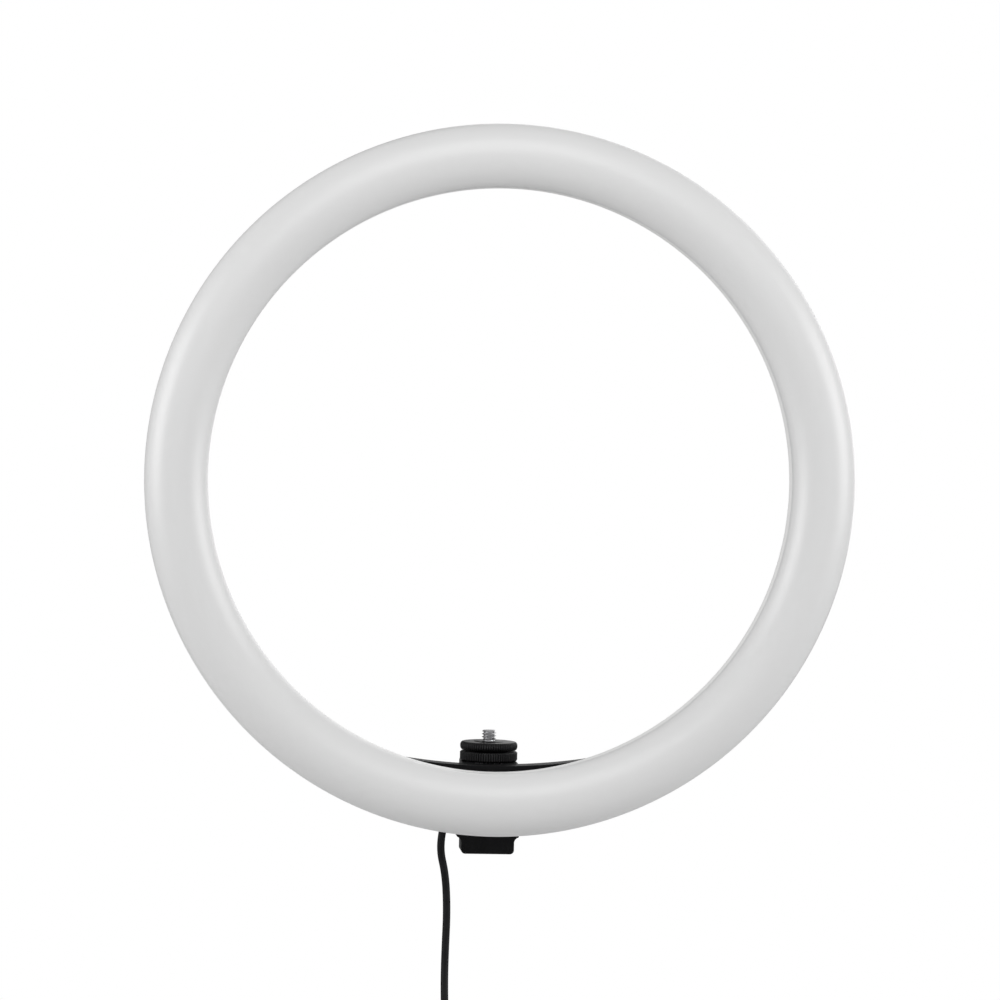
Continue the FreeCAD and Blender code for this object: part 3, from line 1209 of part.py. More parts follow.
def coil_direction(turn):
    """Direction of the coil's centre line at this many turns."""
    step = 1e-4
    low = max(turn - step, 0.0)
    high = min(turn + step, COIL_TURNS)
    return (coil_centre_line(high) - coil_centre_line(low)).normalize()


def biarc(start, start_way, end, end_way):
    """Two arcs that leave start and reach end along the given directions."""
    span = end - start
    both = start_way + end_way
    bend = 2 * (1 - start_way.dot(end_way))
    along = span.dot(both)
    leg = (-along + math.sqrt(along ** 2 + bend * span.dot(span))) / bend
    first = start + start_way * leg
    second = end - end_way * leg
    joint = (first + second) / 2
    return [arc_edge(start, first, joint), arc_edge(joint, second, end)]


def coil_stations():
    """Turn counts at which the coil's arcs meet: every quarter turn."""
    count = int(round(COIL_TURNS * 4))
    stations = [COIL_TURNS * index / count for index in range(count + 1)]
    return stations


def cord_coil():
    """The put-away length: one unbroken tube wound in four layers, straight at its two ends."""
    stations = coil_stations()
    points = [coil_centre_line(turn) for turn in stations]
    ways = [coil_direction(turn) for turn in stations]
    first = points[0] - ways[0] * CORD_D
    last = points[-1] + ways[-1] * CORD_D
    edges = [Part.LineSegment(first, points[0]).toShape()]
    for index in range(len(stations) - 1):
        edges += biarc(points[index], ways[index], points[index + 1], ways[index + 1])
    edges.append(Part.LineSegment(points[-1], last).toShape())
    print("coil starts at", first, "towards", ways[0], "ends at", last, "towards", ways[-1])
    wire = Part.Wire(edges)
    print("coil's least gap to itself in mm", round(coil_gap(edges), 3))
    return tube(wire, first, ways[0], "cord_coil")


def coil_gap(edges):
    """Least clear distance between turns of the coil, measured on points of its centre line."""
    samples = []
    for edge in edges:
        samples += edge.discretize(6)[:-1]
    apart = int(len(samples) / COIL_TURNS / 2)
    least = COIL_MEAN_R
    for index, point in enumerate(samples):
        for other in samples[index + apart:]:
            least = min(least, point.distanceToPoint(other))
    return least - CORD_D


def coil_tie():
    """A strap drawn round the bundle of turns, on the side away from the cord's ends."""
    reach = COIL_PITCH * COIL_TURNS / COIL_LAYERS / 2
    inner = COIL_MEAN_R - reach - CORD_R - COIL_PITCH / 4
    half = TIE_LENGTH / 2
    near = COIL_Y + math.sqrt(inner ** 2 - half ** 2) - TIE_CLEARANCE
    far = COIL_Y + COIL_MEAN_R + reach + CORD_R + TIE_CLEARANCE
    right = COIL_X + CORD_R + TIE_CLEARANCE
    left = COIL_X - COIL_PITCH * (COIL_LAYERS - 1) - CORD_R - TIE_CLEARANCE
    inside = block(Vector(left, near, COIL_Z - half), Vector(right, far, COIL_Z + half))
    wall = Vector(TIE_WALL, TIE_WALL, 0)
    outside = block(Vector(left, near, COIL_Z - half) - wall, Vector(right, far, COIL_Z + half) + wall)
    bend = CORD_R + TIE_CLEARANCE
    outside = outside.makeFillet(bend + TIE_WALL, upright_edges(outside, half))
    return outside.cut(inside.makeFillet(bend, upright_edges(inside, half)))


def plug_place():
    """Where the cord's tail ends and the way it points there."""
    end = Vector(*TAIL_ROUTE[-1])
    before = Vector(*TAIL_ROUTE[-2])
    return end, (end - before).normalize()


def turned_to_plug(shape):
    """Moves a piece drawn along -Z from the origin to the end of the tail."""
    end, way = plug_place()
    rotation = FreeCAD.Rotation(AXIS_Z * -1, way)
    shape.Placement = FreeCAD.Placement(end, rotation)
    return shape


def plug_grip():
    """Moulded grip of the plug: a round neck that opens into a flat body."""
    neck_end = AXIS_Z * -PLUG_NECK_LENGTH
    neck = Part.makeCone(PLUG_NECK_END_R, PLUG_NECK_TOP_R, PLUG_NECK_LENGTH, neck_end, AXIS_Z)
    half = PLUG_GRIP_WIDTH / 2
    body = block(Vector(-half, -PLUG_GRIP_THICKNESS / 2, -PLUG_GRIP_LENGTH),
                 Vector(half, PLUG_GRIP_THICKNESS / 2, -PLUG_NECK_LENGTH))
    body = body.makeFillet(PLUG_GRIP_CORNER_R, upright_edges(body, PLUG_NECK_LENGTH))
    top = [edge for edge in body.Edges
           if all(abs(vertex.Z + PLUG_NECK_LENGTH) < 1e-6 for vertex in edge.Vertexes)]
    body = body.makeFillet(PLUG_GRIP_EDGE_R, top)
    return turned_to_plug(joined([neck, body]))


def plug_shell():
    """Drawn steel sleeve of the plug, open at its end, with two latch windows in each broad face."""
    half_width = PLUG_SHELL_WIDTH / 2
    half_thick = PLUG_SHELL_THICKNESS / 2
    end = -PLUG_GRIP_LENGTH - PLUG_SHELL_LENGTH
    sleeve = block(Vector(-half_width, -half_thick, end), Vector(half_width, half_thick, -PLUG_GRIP_LENGTH))
    inside = block(Vector(-half_width + PLUG_SHELL_WALL, -half_thick + PLUG_SHELL_WALL, end),
                   Vector(half_width - PLUG_SHELL_WALL, half_thick - PLUG_SHELL_WALL, -PLUG_GRIP_LENGTH))
    sleeve = sleeve.cut(inside)
    for side in (-1, 1):
        window_low = Vector(side * PLUG_WINDOW_X - PLUG_WINDOW / 2, -half_thick, end + PLUG_WINDOW_DEPTH)
        window = Part.makeBox(PLUG_WINDOW, PLUG_SHELL_THICKNESS, PLUG_WINDOW, window_low)
        sleeve = sleeve.cut(window)
    return turned_to_plug(sleeve)


def plug_tongue():
    """Insulating tongue inside the sleeve, seated on the grip."""
    half = PLUG_SHELL_WIDTH / 2 - PLUG_SHELL_WALL - HOUSING_GAP
    low = PLUG_SHELL_THICKNESS / 2 - PLUG_SHELL_WALL - HOUSING_GAP
    end = -PLUG_GRIP_LENGTH - PLUG_SHELL_LENGTH + PLUG_TONGUE_SHORTER
    tongue = block(Vector(-half, low - PLUG_TONGUE_THICKNESS, end), Vector(half, low, -PLUG_GRIP_LENGTH))
    return turned_to_plug(tongue)


PIECES = {
    "front_diffuser": front_diffuser,
    "rear_shell": rear_shell,
    "led_board": led_board,
    "led_chips": led_chips,
    "board_screws": board_screws,
    "shell_screws": shell_screws,
    "led_leads": led_leads,
    "housing_body": housing_body,
    "housing_back": housing_back,
    "mount_screws": mount_screws,
    "end_screws": end_screws,
    "control_board": control_board,
    "board_parts": board_parts,
    "power_leads": power_leads,
    "tact_switches": tact_switches,
    "dimmer_pot": dimmer_pot,
    "dimmer_shaft": dimmer_shaft,
    "dimmer_knob": dimmer_knob,
    "head_bracket": head_bracket,
    "bracket_screws": bracket_screws,
    "cold_shoe": cold_shoe,
    "shoe_screws": shoe_screws,
    "shoe_plate": shoe_plate,
    "top_stud": top_stud,
    "foot_clevis": foot_clevis,
    "thread_bush": thread_bush,
    "tilt_bolt": tilt_bolt,
    "friction_washers": friction_washers,
    "knob_washer": knob_washer,
    "tilt_knob": tilt_knob,
    "tilt_knob_nut": tilt_knob_nut,
    "cord_boot": cord_boot,
    "cord_coil": cord_coil,
    "coil_tie": coil_tie,
    "plug_grip": plug_grip,
    "plug_shell": plug_shell,
    "plug_tongue": plug_tongue,
}

for name, make in PIECES.items():
    save(name, make())
for name, x in zip(("power_button", "warm_button", "cool_button"), BUTTON_X):
    save(name, push_button(x))
save("lower_wheel", knurled_wheel(LOWER_WHEEL_Z, LOWER_WHEEL_THICKNESS, False))
save("upper_wheel", knurled_wheel(UPPER_WHEEL_Z, UPPER_WHEEL_THICKNESS, True))
save("cord_lead", cord_stretch(LEAD_ROUTE, "cord_lead"))
save("cord_tail", cord_stretch(TAIL_ROUTE, "cord_tail"))
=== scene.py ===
import math

import bmesh
import bpy
import numpy as np
from mathutils import Matrix, Vector


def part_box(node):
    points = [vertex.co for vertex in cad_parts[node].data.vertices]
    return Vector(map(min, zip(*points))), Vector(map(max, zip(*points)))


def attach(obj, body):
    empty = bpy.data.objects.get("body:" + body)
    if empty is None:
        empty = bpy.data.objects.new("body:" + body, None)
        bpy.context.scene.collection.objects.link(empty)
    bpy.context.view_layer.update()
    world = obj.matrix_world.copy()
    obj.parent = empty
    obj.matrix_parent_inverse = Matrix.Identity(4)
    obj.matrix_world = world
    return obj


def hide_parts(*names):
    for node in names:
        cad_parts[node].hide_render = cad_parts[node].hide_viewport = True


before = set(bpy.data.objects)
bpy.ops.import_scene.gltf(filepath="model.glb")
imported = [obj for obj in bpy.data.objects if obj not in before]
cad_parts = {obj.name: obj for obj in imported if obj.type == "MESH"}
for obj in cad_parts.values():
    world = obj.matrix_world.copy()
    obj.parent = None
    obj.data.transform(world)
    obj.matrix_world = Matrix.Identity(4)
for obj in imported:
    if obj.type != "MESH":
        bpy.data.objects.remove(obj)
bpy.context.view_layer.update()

# Front of the ring: one domed shell of opal acrylic, moulded 1.6 mm thick. Its edge is eased where it
# meets the rear tray, which leaves a fine dark seam round the ring. It hides the board and its chips.
OPAL_WALL = 0.0016
OPAL_CORNER = 0.008
OPAL_SKIRT = 0.0015
SEAM_EASE = 0.00025
OPAL_COLOUR = (0.63, 0.63, 0.63)
RING_STEPS = 288
ORIGIN = (0.0, 0.0, 0.0)

ring_low, ring_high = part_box("front_diffuser")
tray_low, tray_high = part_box("rear_shell")
ring_centre = ((ring_low.x + ring_high.x) / 2, 0.0, (ring_low.z + ring_high.z) / 2)
RING_OUTER = (ring_high.x - ring_low.x) / 2
RING_BAND = 0.027
ring_mid = RING_OUTER - RING_BAND / 2
ring_inner = RING_OUTER - RING_BAND
parting_y = tray_low.y
opal_depth = parting_y - ring_low.y


def arc(centre, radius, start, end, steps):
    """Points (a, b) on a circle, from one angle in degrees to another."""
    angle = np.radians(np.linspace(start, end, steps))
    return np.array(centre) + radius * np.stack([np.cos(angle), np.sin(angle)], axis=1)


def whole_turn(steps):
    """The angles of one turn, as a column with a row for each step."""
    return np.linspace(0, 2 * np.pi, steps, endpoint=False)[:, None]


def spun(radii, heights, centre, axis):
    """Points round an axis through the centre, from a row of radii for each step of the turn and
    one row of heights: side * radius * cos t + up * radius * sin t + axis * height."""
    ways = {"X": ((0, 1, 0), (0, 0, 1), (1, 0, 0)),
            "Y": ((1, 0, 0), (0, 0, 1), (0, 1, 0)),
            "Z": ((1, 0, 0), (0, 1, 0), (0, 0, 1))}
    side, up, along = (np.array(way, float) for way in ways[axis])
    turn = whole_turn(len(radii))[:, :, None]
    outwards = np.cos(turn) * side + np.sin(turn) * up
    return np.array(centre) + radii[:, :, None] * outwards + np.array(heights)[:, None] * along


def turned(outline, centre, axis, steps):
    """An outline of (radius, height) points, carried once round an axis through the centre."""
    return spun(np.tile(outline[:, 0], (steps, 1)), outline[:, 1], centre, axis)


def woven_mesh(name, skins, sharp=35.0):
    """A mesh from grids of points, each (grid, rows join up, columns join up), with neighbours
    joined by quads. Seams and poles are closed, faces point outwards, and the surface is smooth
    between edges sharper than an angle in degrees."""
    points = []
    faces = []
    first = 0
    for grid, rows_close, columns_close in skins:
        rows, columns = grid.shape[:2]
        index = first + np.arange(rows * columns).reshape(rows, columns)
        if rows_close:
            index = np.concatenate([index, index[:1]], axis=0)
        if columns_close:
            index = np.concatenate([index, index[:, :1]], axis=1)
        quads = np.stack([index[:-1, :-1], index[1:, :-1], index[1:, 1:], index[:-1, 1:]], axis=-1)
        faces += quads.reshape(-1, 4).tolist()
        points.append(grid.reshape(-1, 3))
        first += rows * columns
    mesh = bpy.data.meshes.new(name)
    mesh.from_pydata(np.concatenate(points), [], faces)
    work = bmesh.new()
    work.from_mesh(mesh)
    bmesh.ops.remove_doubles(work, verts=work.verts, dist=1e-6)
    bmesh.ops.recalc_face_normals(work, faces=work.faces)
    work.to_mesh(mesh)
    work.free()
    mesh.shade_smooth()
    mesh.set_sharp_from_angle(angle=math.radians(sharp))
    return mesh


def new_piece(name, mesh, body, material):
    """Puts a mesh in the scene as a piece that rides on a body and takes a slot's finish."""
    made = bpy.data.objects.new(name, mesh)
    bpy.context.scene.collection.objects.link(made)
    mesh.materials.append(material)
    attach(made, body)
    return made


def woven_piece(name, skins, body, material, node=None, sharp=35.0):
    """A piece woven from grids of points, in the place of a node where it has one."""
    made = new_piece(name, woven_mesh(name, skins, sharp), body, material)
    if node:
        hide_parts(node)


def opal_outline(inset):
    """Half section of the dome, set in by a wall: skirt, corner, crown, corner, skirt."""
    half = RING_BAND / 2
    flat = half - OPAL_CORNER
    rise = opal_depth - OPAL_SKIRT - OPAL_CORNER
    crown = OPAL_CORNER + (flat ** 2 + rise ** 2) / (2 * rise)
    meet = 90 - math.degrees(math.atan2(flat, crown - OPAL_CORNER - rise))
    right = arc((ring_mid + flat, OPAL_SKIRT), OPAL_CORNER - inset, 0, meet, 12)
    top = arc((ring_mid, opal_depth - crown), crown - inset, meet, 180 - meet, 26)
    left = arc((ring_mid - flat, OPAL_SKIRT), OPAL_CORNER - inset, 180 - meet, 180, 12)
    return np.concatenate([right, top[1:-1], left])


def on_ring(outline, y, way):
    """A section's (radius, depth) points as (radius, height) along +Y from the parting line."""
    return np.stack([outline[:, 0], y + way * outline[:, 1]], axis=1)


eased_outside = arc((RING_OUTER - SEAM_EASE, SEAM_EASE), SEAM_EASE, -90, 0, 4)
eased_inside = arc((ring_inner + SEAM_EASE, SEAM_EASE), SEAM_EASE, 180, 270, 4)
opal_section = np.concatenate([
    eased_outside, opal_outline(0.0), eased_inside, [[ring_inner + OPAL_WALL, 0.0]],
    opal_outline(OPAL_WALL)[::-1], [[RING_OUTER - OPAL_WALL, 0.0]]])


class Value:
    """A shader value. Sums and products on it add the Math nodes that work them out."""

    def __init__(self, finish, socket):
        self.finish = finish
        self.socket = socket

    def math(self, operation, first, second=0.0):
        return self.finish.node("Math", {"operation": operation}, {0: first, 1: second})

    def __add__(self, other):
        return self.math("ADD", self, other)

    def __sub__(self, other):
        return self.math("SUBTRACT", self, other)

    def __rsub__(self, other):
        return self.math("SUBTRACT", other, self)

    def __mul__(self, other):
        return self.math("MULTIPLY", self, other)

    __radd__ = __add__
    __rmul__ = __mul__

    def __lt__(self, other):
        return self.math("LESS_THAN", self, other)

    def __gt__(self, other):
        return self.math("GREATER_THAN", self, other)

    def size(self):
        return self.math("ABSOLUTE", self)

    def part(self):
        return self.math("FRACT", self)

    def root(self):
        return self.math("SQRT", self)


class Finish:
    """A material under way: its Principled shader, and one method that adds any other node."""

    def __init__(self, name):
        self.material = bpy.data.materials.new(name)
        self.material.use_nodes = True
        self.tree = self.material.node_tree
        self.shader = self.tree.nodes["Principled BSDF"]

    def fill(self, socket, value):
        """Links a value, or sets a number, a colour or a vector on the socket itself."""
        if isinstance(value, Value):
            self.tree.links.new(value.socket, socket)
        elif socket.type == "RGBA":
            socket.default_value = (*value, 1.0)
        else:
            socket.default_value = value

    def node(self, kind, settings, sockets, output=0):
        """A node of this kind, with its settings made first and then its sockets filled."""
        made = self.tree.nodes.new("ShaderNode" + kind)
        for name, setting in settings.items():
            setattr(made, name, setting)
        for name, value in sockets.items():
            self.fill(made.inputs[name], value)
        return Value(self, made.outputs[output])

    def place(self, stretch=(1.0, 1.0, 1.0)):
        """Object coordinates, stretched so that a pattern can run finer along an axis."""
        here = self.node("TexCoord", {}, {}, "Object")
        return self.node("Mapping", {}, {"Vector": here, "Scale": stretch})

    def axes(self):
        """The three object coordinates in metres."""
        here = self.node("TexCoord", {}, {}, "Object")
        return [self.node("SeparateXYZ", {}, {0: here}, axis) for axis in "XYZ"]

    def noise(self, size, detail=2.0, roughness=0.5, stretch=(1.0, 1.0, 1.0)):
        """Even noise from 0 to 1, whose lumps are about this many metres across."""
        return self.node("TexNoise", {}, {"Vector": self.place(stretch), "Scale": 1.0 / size,
                                          "Detail": detail, "Roughness": roughness})

    def between(self, factor, first, second):
        """A colour mixed from two colours."""
        return self.node("Mix", {"data_type": "RGBA"}, {0: factor, 6: first, 7: second}, 2)

    def ramp(self, factor, low, high):
        """A number that runs from 0 at low to 1 at high and stays there."""
        return self.node("MapRange", {}, {"Value": factor, "From Min": low, "From Max": high})

    def bump(self, height, depth):
        """A normal from a height of 0 to 1 that stands this many metres deep."""
        return self.node("Bump", {}, {"Height": height, "Distance": depth, "Strength": 1.0})

    def done(self, sockets):
        """Fills the shader's own sockets and gives back the material."""
        for name, value in sockets.items():
            self.fill(self.shader.inputs[name], value)
        return self.material


def shaded(colour, share):
    """A colour with each of its parts times a share."""
    return tuple(share * part for part in colour)


def opal_acrylic():
    """Satin opal: an almost even milky white, a slow ripple from the mould, and faint handling haze."""
    finish = Finish("opal_acrylic")
    cloud = finish.noise(0.035, 3.0)
    haze = finish.noise(0.004, 4.0, 0.6)
    ripple = finish.noise(0.009, 1.0)
    shade = cloud * 0.5 + 0.25
    return finish.done({
        "Base Color": finish.between(shade, shaded(OPAL_COLOUR, 0.975), OPAL_COLOUR),
        "Roughness": haze * 0.10 + 0.30,
        "IOR": 1.49,
        "Subsurface Weight": 0.12,
        "Subsurface Radius": (0.002, 0.002, 0.002),
        "Subsurface Scale": 1.0,
        "Normal": finish.bump(ripple, 0.00006)})


opal_grid = turned(on_ring(opal_section, parting_y, -1.0), ring_centre, "Y", RING_STEPS)
woven_piece("ring_front", [(opal_grid, True, True)], "head", opal_acrylic(),
            "front_diffuser")

# Back of the ring: a white tray moulded in ABS, with rounded rims and a flat floor. Six screws through
# the floor pull the opal front onto it, and four more from the housing hold its lowest stretch.
TRAY_WALL = 0.0018
TRAY_CORNER = 0.004
TRAY_COLOUR = (0.79, 0.79, 0.785)
SCREW_EASE = 0.00022
ZINC_COLOUR = (0.66, 0.67, 0.69)

tray_depth = tray_high.y - tray_low.y


def tray_outline():
    """Half section of the tray: rim, corner, floor, corner, rim, and back along the inner faces."""
    low = tray_depth - TRAY_CORNER
    bend = TRAY_CORNER - TRAY_WALL
    return np.concatenate([
        eased_outside,
        arc((RING_OUTER - TRAY_CORNER, low), TRAY_CORNER, 0, 90, 10),
        arc((ring_inner + TRAY_CORNER, low), TRAY_CORNER, 90, 180, 10),
        eased_inside,
        [[ring_inner + TRAY_WALL, 0.0]],
        arc((ring_inner + TRAY_CORNER, low), bend, 180, 90, 6),
        arc((RING_OUTER - TRAY_CORNER, low), bend, 90, 0, 6),
        [[RING_OUTER - TRAY_WALL, 0.0]]])


def moulded_white():
    """Moulded ABS: off-white with a faint yellow drift, spark-eroded grain and soft flow marks."""
    finish = Finish("moulded_white")
    drift = finish.noise(0.06, 2.0)
    grain = finish.noise(0.00035, 3.0, 0.7)
    flow = finish.noise(0.012, 2.0, stretch=(1.0, 1.0, 0.3))
    return finish.done({
        "Base Color": finish.between(drift, TRAY_COLOUR, shaded(TRAY_COLOUR, 0.97)),
        "Roughness": flow * 0.12 + 0.42,
        "Normal": finish.bump(grain, 0.00003)})


def bare_metal(name, bright, dull, patch, sheen, mark, stretch):
    """Bare metal, with patches of a duller colour and fine marks from how it was made. Patch is
    (size, roughness) of the patches, sheen is (spread, least) of the shader's roughness, and the
    marks have a size and a stretch."""
    finish = Finish(name)
    patches = finish.noise(patch[0], 4.0, patch[1])
    marks = finish.noise(mark, 2.0, stretch=stretch)
    return finish.done({
        "Base Color": finish.between(patches, bright, dull),
        "Metallic": 1.0,
        "Roughness": patches * sheen[0] + sheen[1],
        "Normal": finish.bump(marks, 0.000008)})


def eased_copy(node, name, body, material, ease):
    """A solid of the part with its corners merged, its flat faces joined up and its sharp edges
    eased by a bevel, in the place of the node that it copies."""
    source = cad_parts[node].data
    points = np.empty(len(source.vertices) * 3, np.float32)
    source.vertices.foreach_get("co", points)
    corners = np.empty(len(source.loops), np.int32)
    source.loops.foreach_get("vertex_index", corners)
    mesh = bpy.data.meshes.new(name)
    mesh.from_pydata(points.reshape(-1, 3), [], corners.reshape(-1, 3))
    work = bmesh.new()
    work.from_mesh(mesh)
    bmesh.ops.remove_doubles(work, verts=work.verts, dist=2e-6)
    bmesh.ops.dissolve_limit(work, angle_limit=math.radians(0.4), verts=work.verts, edges=work.edges)
    work.to_mesh(mesh)
    work.free()
    mesh.shade_smooth()
    made = new_piece(name, mesh, body, material)
    bevel = made.modifiers.new("eased edges", "BEVEL")
    bevel.width = ease
    bevel.segments = 2
    bevel.limit_method = "ANGLE"
    bevel.angle_limit = math.radians(32)
    bevel.use_clamp_overlap = True
    bevel.harden_normals = True
    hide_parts(node)
    return made


tray_grid = turned(on_ring(tray_outline(), parting_y, 1.0), ring_centre, "Y", RING_STEPS)
woven_piece("ring_back", [(tray_grid, True, True)], "head", moulded_white(), "rear_shell")

# Bright zinc plating has streaks from the barrel, and a dull bloom in places.
zinc = bare_metal("zinc_plate", ZINC_COLOUR, shaded(ZINC_COLOUR, 0.8), (0.0015, 0.65), (0.25, 0.22),
                  0.0002, (1.0, 0.2, 1.0))
eased_copy("shell_screws", "ring_screws", "head", zinc, SCREW_EASE)

# Light board: a ring of white aluminium-backed board with two rows of small lamps, warm and cool,
# held on its bosses by six screws. Three wires take its current back into the housing.
BOARD_WHITE = (0.80, 0.80, 0.78)
COPPER_SHADE = (0.66, 0.66, 0.62)
LAMP_CASE = (0.85, 0.84, 0.80)
WARM_PHOSPHOR = (0.85, 0.50, 0.12)
COOL_PHOSPHOR = (0.86, 0.74, 0.22)
LAMPS_PER_ROW = 60
LAMP_HALF = 0.00175
LAMP_ROW_GAP = 0.006
LAMP_WINDOW = 0.0011
TRACE_PITCH = 0.0028
HALF_WIRE = 0.0009
WIRE_RED = (0.42, 0.012, 0.010)
WIRE_BLACK = (0.012, 0.012, 0.013)
WIRE_WHITE = (0.62, 0.62, 0.60)

wires_low, wires_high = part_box("led_leads")
lamp_mid_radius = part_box("led_chips")[1].x - LAMP_HALF - LAMP_ROW_GAP / 2


def round_ring(finish):
    """The distance from the ring's axis and the share of a whole turn, from object coordinates."""
    x, y, z = finish.axes()
    up = z - ring_centre[2]
    return (x * x + up * up).root(), up.math("ARCTAN2", up, x) * (0.5 / math.pi)


def board_mask():
    """White solder mask: fine copper runs show through it as faintly darker rings."""
    finish = Finish("board_mask")
    radius, turn = round_ring(finish)
    run = ((radius * (1.0 / TRACE_PITCH)).part() - 0.5).size() < 0.32
    gap = (turn * LAMPS_PER_ROW).part() < 0.08
    weave = finish.noise(0.0006, 3.0)
    colour = finish.between(run * (1.0 - gap) * 0.5, BOARD_WHITE, COPPER_SHADE)
    return finish.done({
        "Base Color": colour,
        "Roughness": weave * 0.15 + 0.30,
        "Normal": finish.bump(run, 0.00003)})


def lamp_face():
    """A white lamp case round a pool of phosphor, amber in the inner row and yellow in the outer."""
    finish = Finish("lamp_face")
    radius, turn = round_ring(finish)
    along = ((turn * LAMPS_PER_ROW).part() - 0.5) * (2 * math.pi * lamp_mid_radius / LAMPS_PER_ROW)
    row = ((radius - lamp_mid_radius).size() - LAMP_ROW_GAP / 2).size()
    pool = (along * along + row * row).root()
    filled = 1.0 - finish.ramp(pool, LAMP_WINDOW * 0.9, LAMP_WINDOW)
    phosphor = finish.between(radius > lamp_mid_radius, WARM_PHOSPHOR, COOL_PHOSPHOR)
    grains = finish.noise(0.0002, 2.0)
    return finish.done({
        "Base Color": finish.between(filled, LAMP_CASE, phosphor),
        "Roughness": grains * 0.2 + 0.25,
        "Normal": finish.bump(1.0 - filled, 0.0001)})


def wire_sleeve(name, middle, colours):
    """PVC wire sleeve: three colours side by side along X, each with a slight waxy mottle."""
    finish = Finish(name)
    x, y, z = finish.axes()
    left, centre, right = colours
    wax = finish.noise(0.0008, 3.0)
    first = finish.between((x - (middle - HALF_WIRE)) > 0.0, left, centre)
    return finish.done({
        "Base Color": finish.between((x - (middle + HALF_WIRE)) > 0.0, first, right),
        "Roughness": wax * 0.2 + 0.35})


def paint_node(node, material):
    """Gives one of the part's own solids its finish."""
    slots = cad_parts[node].data.materials
    slots.clear()
    slots.append(material)


paint_node("led_board", board_mask())
paint_node("led_chips", lamp_face())
paint_node("board_screws", zinc)
paint_node("led_leads", wire_sleeve("board_wires", (wires_low.x + wires_high.x) / 2,
                                    (WIRE_RED, WIRE_BLACK, WIRE_WHITE)))

# Control housing: a crescent of black ABS in two halves, screwed behind the ring's lower edge. Its
# front half carries the boards, and the rear cover is held by the bracket's screws and two more.
HOUSING_BLACK = (0.0040, 0.0040, 0.0044)
HOUSING_EASE = 0.00035
COVER_EASE = 0.0002
BOARD_GREEN = (0.012, 0.085, 0.035)
BOARD_TRACE = (0.022, 0.135, 0.055)
PART_BLACK = (0.018, 0.018, 0.019)
OXIDE_BLACK = (0.012, 0.012, 0.012)
FINE_GRAIN = 0.00028
TRACES_ACROSS = 700.0
TRACES_UP = 560.0


def moulded_black(name, colour, grain_depth, dullness):
    """Moulded black plastic: spark-eroded grain, and a slow change of sheen where it was handled."""
    finish = Finish(name)
    grain = finish.noise(FINE_GRAIN, 3.0, 0.7)
    handled = finish.noise(0.008, 4.0, 0.6)
    worn = finish.ramp(handled, 0.35, 0.75)
    return finish.done({
        "Base Color": finish.between(worn, colour, shaded(colour, 1.7)),
        "Roughness": handled * 0.16 + dullness,
        "Specular IOR Level": 0.09,
        "Normal": finish.bump(grain, grain_depth)})


def green_board():
    """Green solder mask over glass board: lighter copper runs on a square grid, and glassy gloss."""
    finish = Finish("green_board")
    x, y, z = finish.axes()
    across = ((x * TRACES_ACROSS).part() - 0.5).size() < 0.22
    upward = ((z * TRACES_UP).part() - 0.5).size() < 0.18
    wander = finish.noise(0.004, 1.0) > 0.5
    run = across * wander + upward * (1.0 - wander)
    return finish.done({
        "Base Color": finish.between(run, BOARD_GREEN, BOARD_TRACE),
        "Roughness": 0.25,
        "Normal": finish.bump(run, 0.00003)})


def mottled(name, colour, other, size, sheen, depth=0.0, metallic=0.0):
    """A plain finish, where one fine mottle changes the colour, the roughness and, if it has a
    depth, the surface. Sheen is (spread, least) of the shader's roughness."""
    finish = Finish(name)
    mottle = finish.noise(size, 3.0)
    sockets = {
        "Base Color": finish.between(mottle, colour, other),
        "Metallic": metallic,
        "Roughness": mottle * sheen[0] + sheen[1]}
    if depth:
        sockets["Normal"] = finish.bump(mottle, depth)
    return finish.done(sockets)


housing_abs = moulded_black("housing_abs", HOUSING_BLACK, 0.00003, 0.34)
black_oxide = moulded_black("black_oxide", OXIDE_BLACK, 0.00001, 0.30)
eased_copy("housing_body", "housing_front", "head", housing_abs, HOUSING_EASE)
eased_copy("housing_back", "housing_cover", "head", housing_abs, COVER_EASE)
eased_copy("end_screws", "cover_screws", "head", black_oxide, SCREW_EASE)
paint_node("mount_screws", zinc)
paint_node("control_board", green_board())
packages = mottled("moulded_package", PART_BLACK, shaded(PART_BLACK, 1.5), 0.0002, (0.2, 0.5), 0.00002)
paint_node("board_parts", packages)
paint_node("tact_switches", packages)
leads_low, leads_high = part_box("power_leads")
paint_node("power_leads", wire_sleeve("supply_wires", (leads_low.x + leads_high.x) / 2 - HALF_WIRE,
                                      (WIRE_RED, WIRE_RED, WIRE_BLACK)))

# Push buttons: three dished caps of matt rubber, power, warmer and cooler, each held behind the cover
# by its flange and sprung by the switch under it. A raised dot marks the middle of the power button.
BUTTON_RUBBER = (0.016, 0.016, 0.017)
BUTTON_DUST = (0.075, 0.075, 0.075)
BUTTON_RADIUS = 0.0032
BUTTON_DISH = 0.00025
BUTTON_EDGE = 0.0006
BUTTON_SHOULDER = 0.0007
BUTTON_STEM = 0.0016
FLANGE_SET = 0.00195
DOT_RADIUS = 0.00045


def button_outline(low_y, high_y, flange_y, flange_radius):
    """Section from the dished middle over the round edge, down the cap, flange and stem."""
    top = high_y - BUTTON_DISH
    dish = np.linspace(0, BUTTON_RADIUS - BUTTON_EDGE, 10)
    dished = np.stack([dish, top + BUTTON_DISH * (dish / dish[-1]) ** 2], axis=1)
    edge = arc((BUTTON_RADIUS - BUTTON_EDGE, high_y - BUTTON_EDGE), BUTTON_EDGE, 90, 0, 6)
    below = [[BUTTON_RADIUS, flange_y], [flange_radius, flange_y],
             [flange_radius, flange_y - BUTTON_SHOULDER], [BUTTON_STEM, flange_y - BUTTON_SHOULDER],
             [BUTTON_STEM, low_y], [0.0, low_y]]
    return np.concatenate([dished, edge[1:], below])


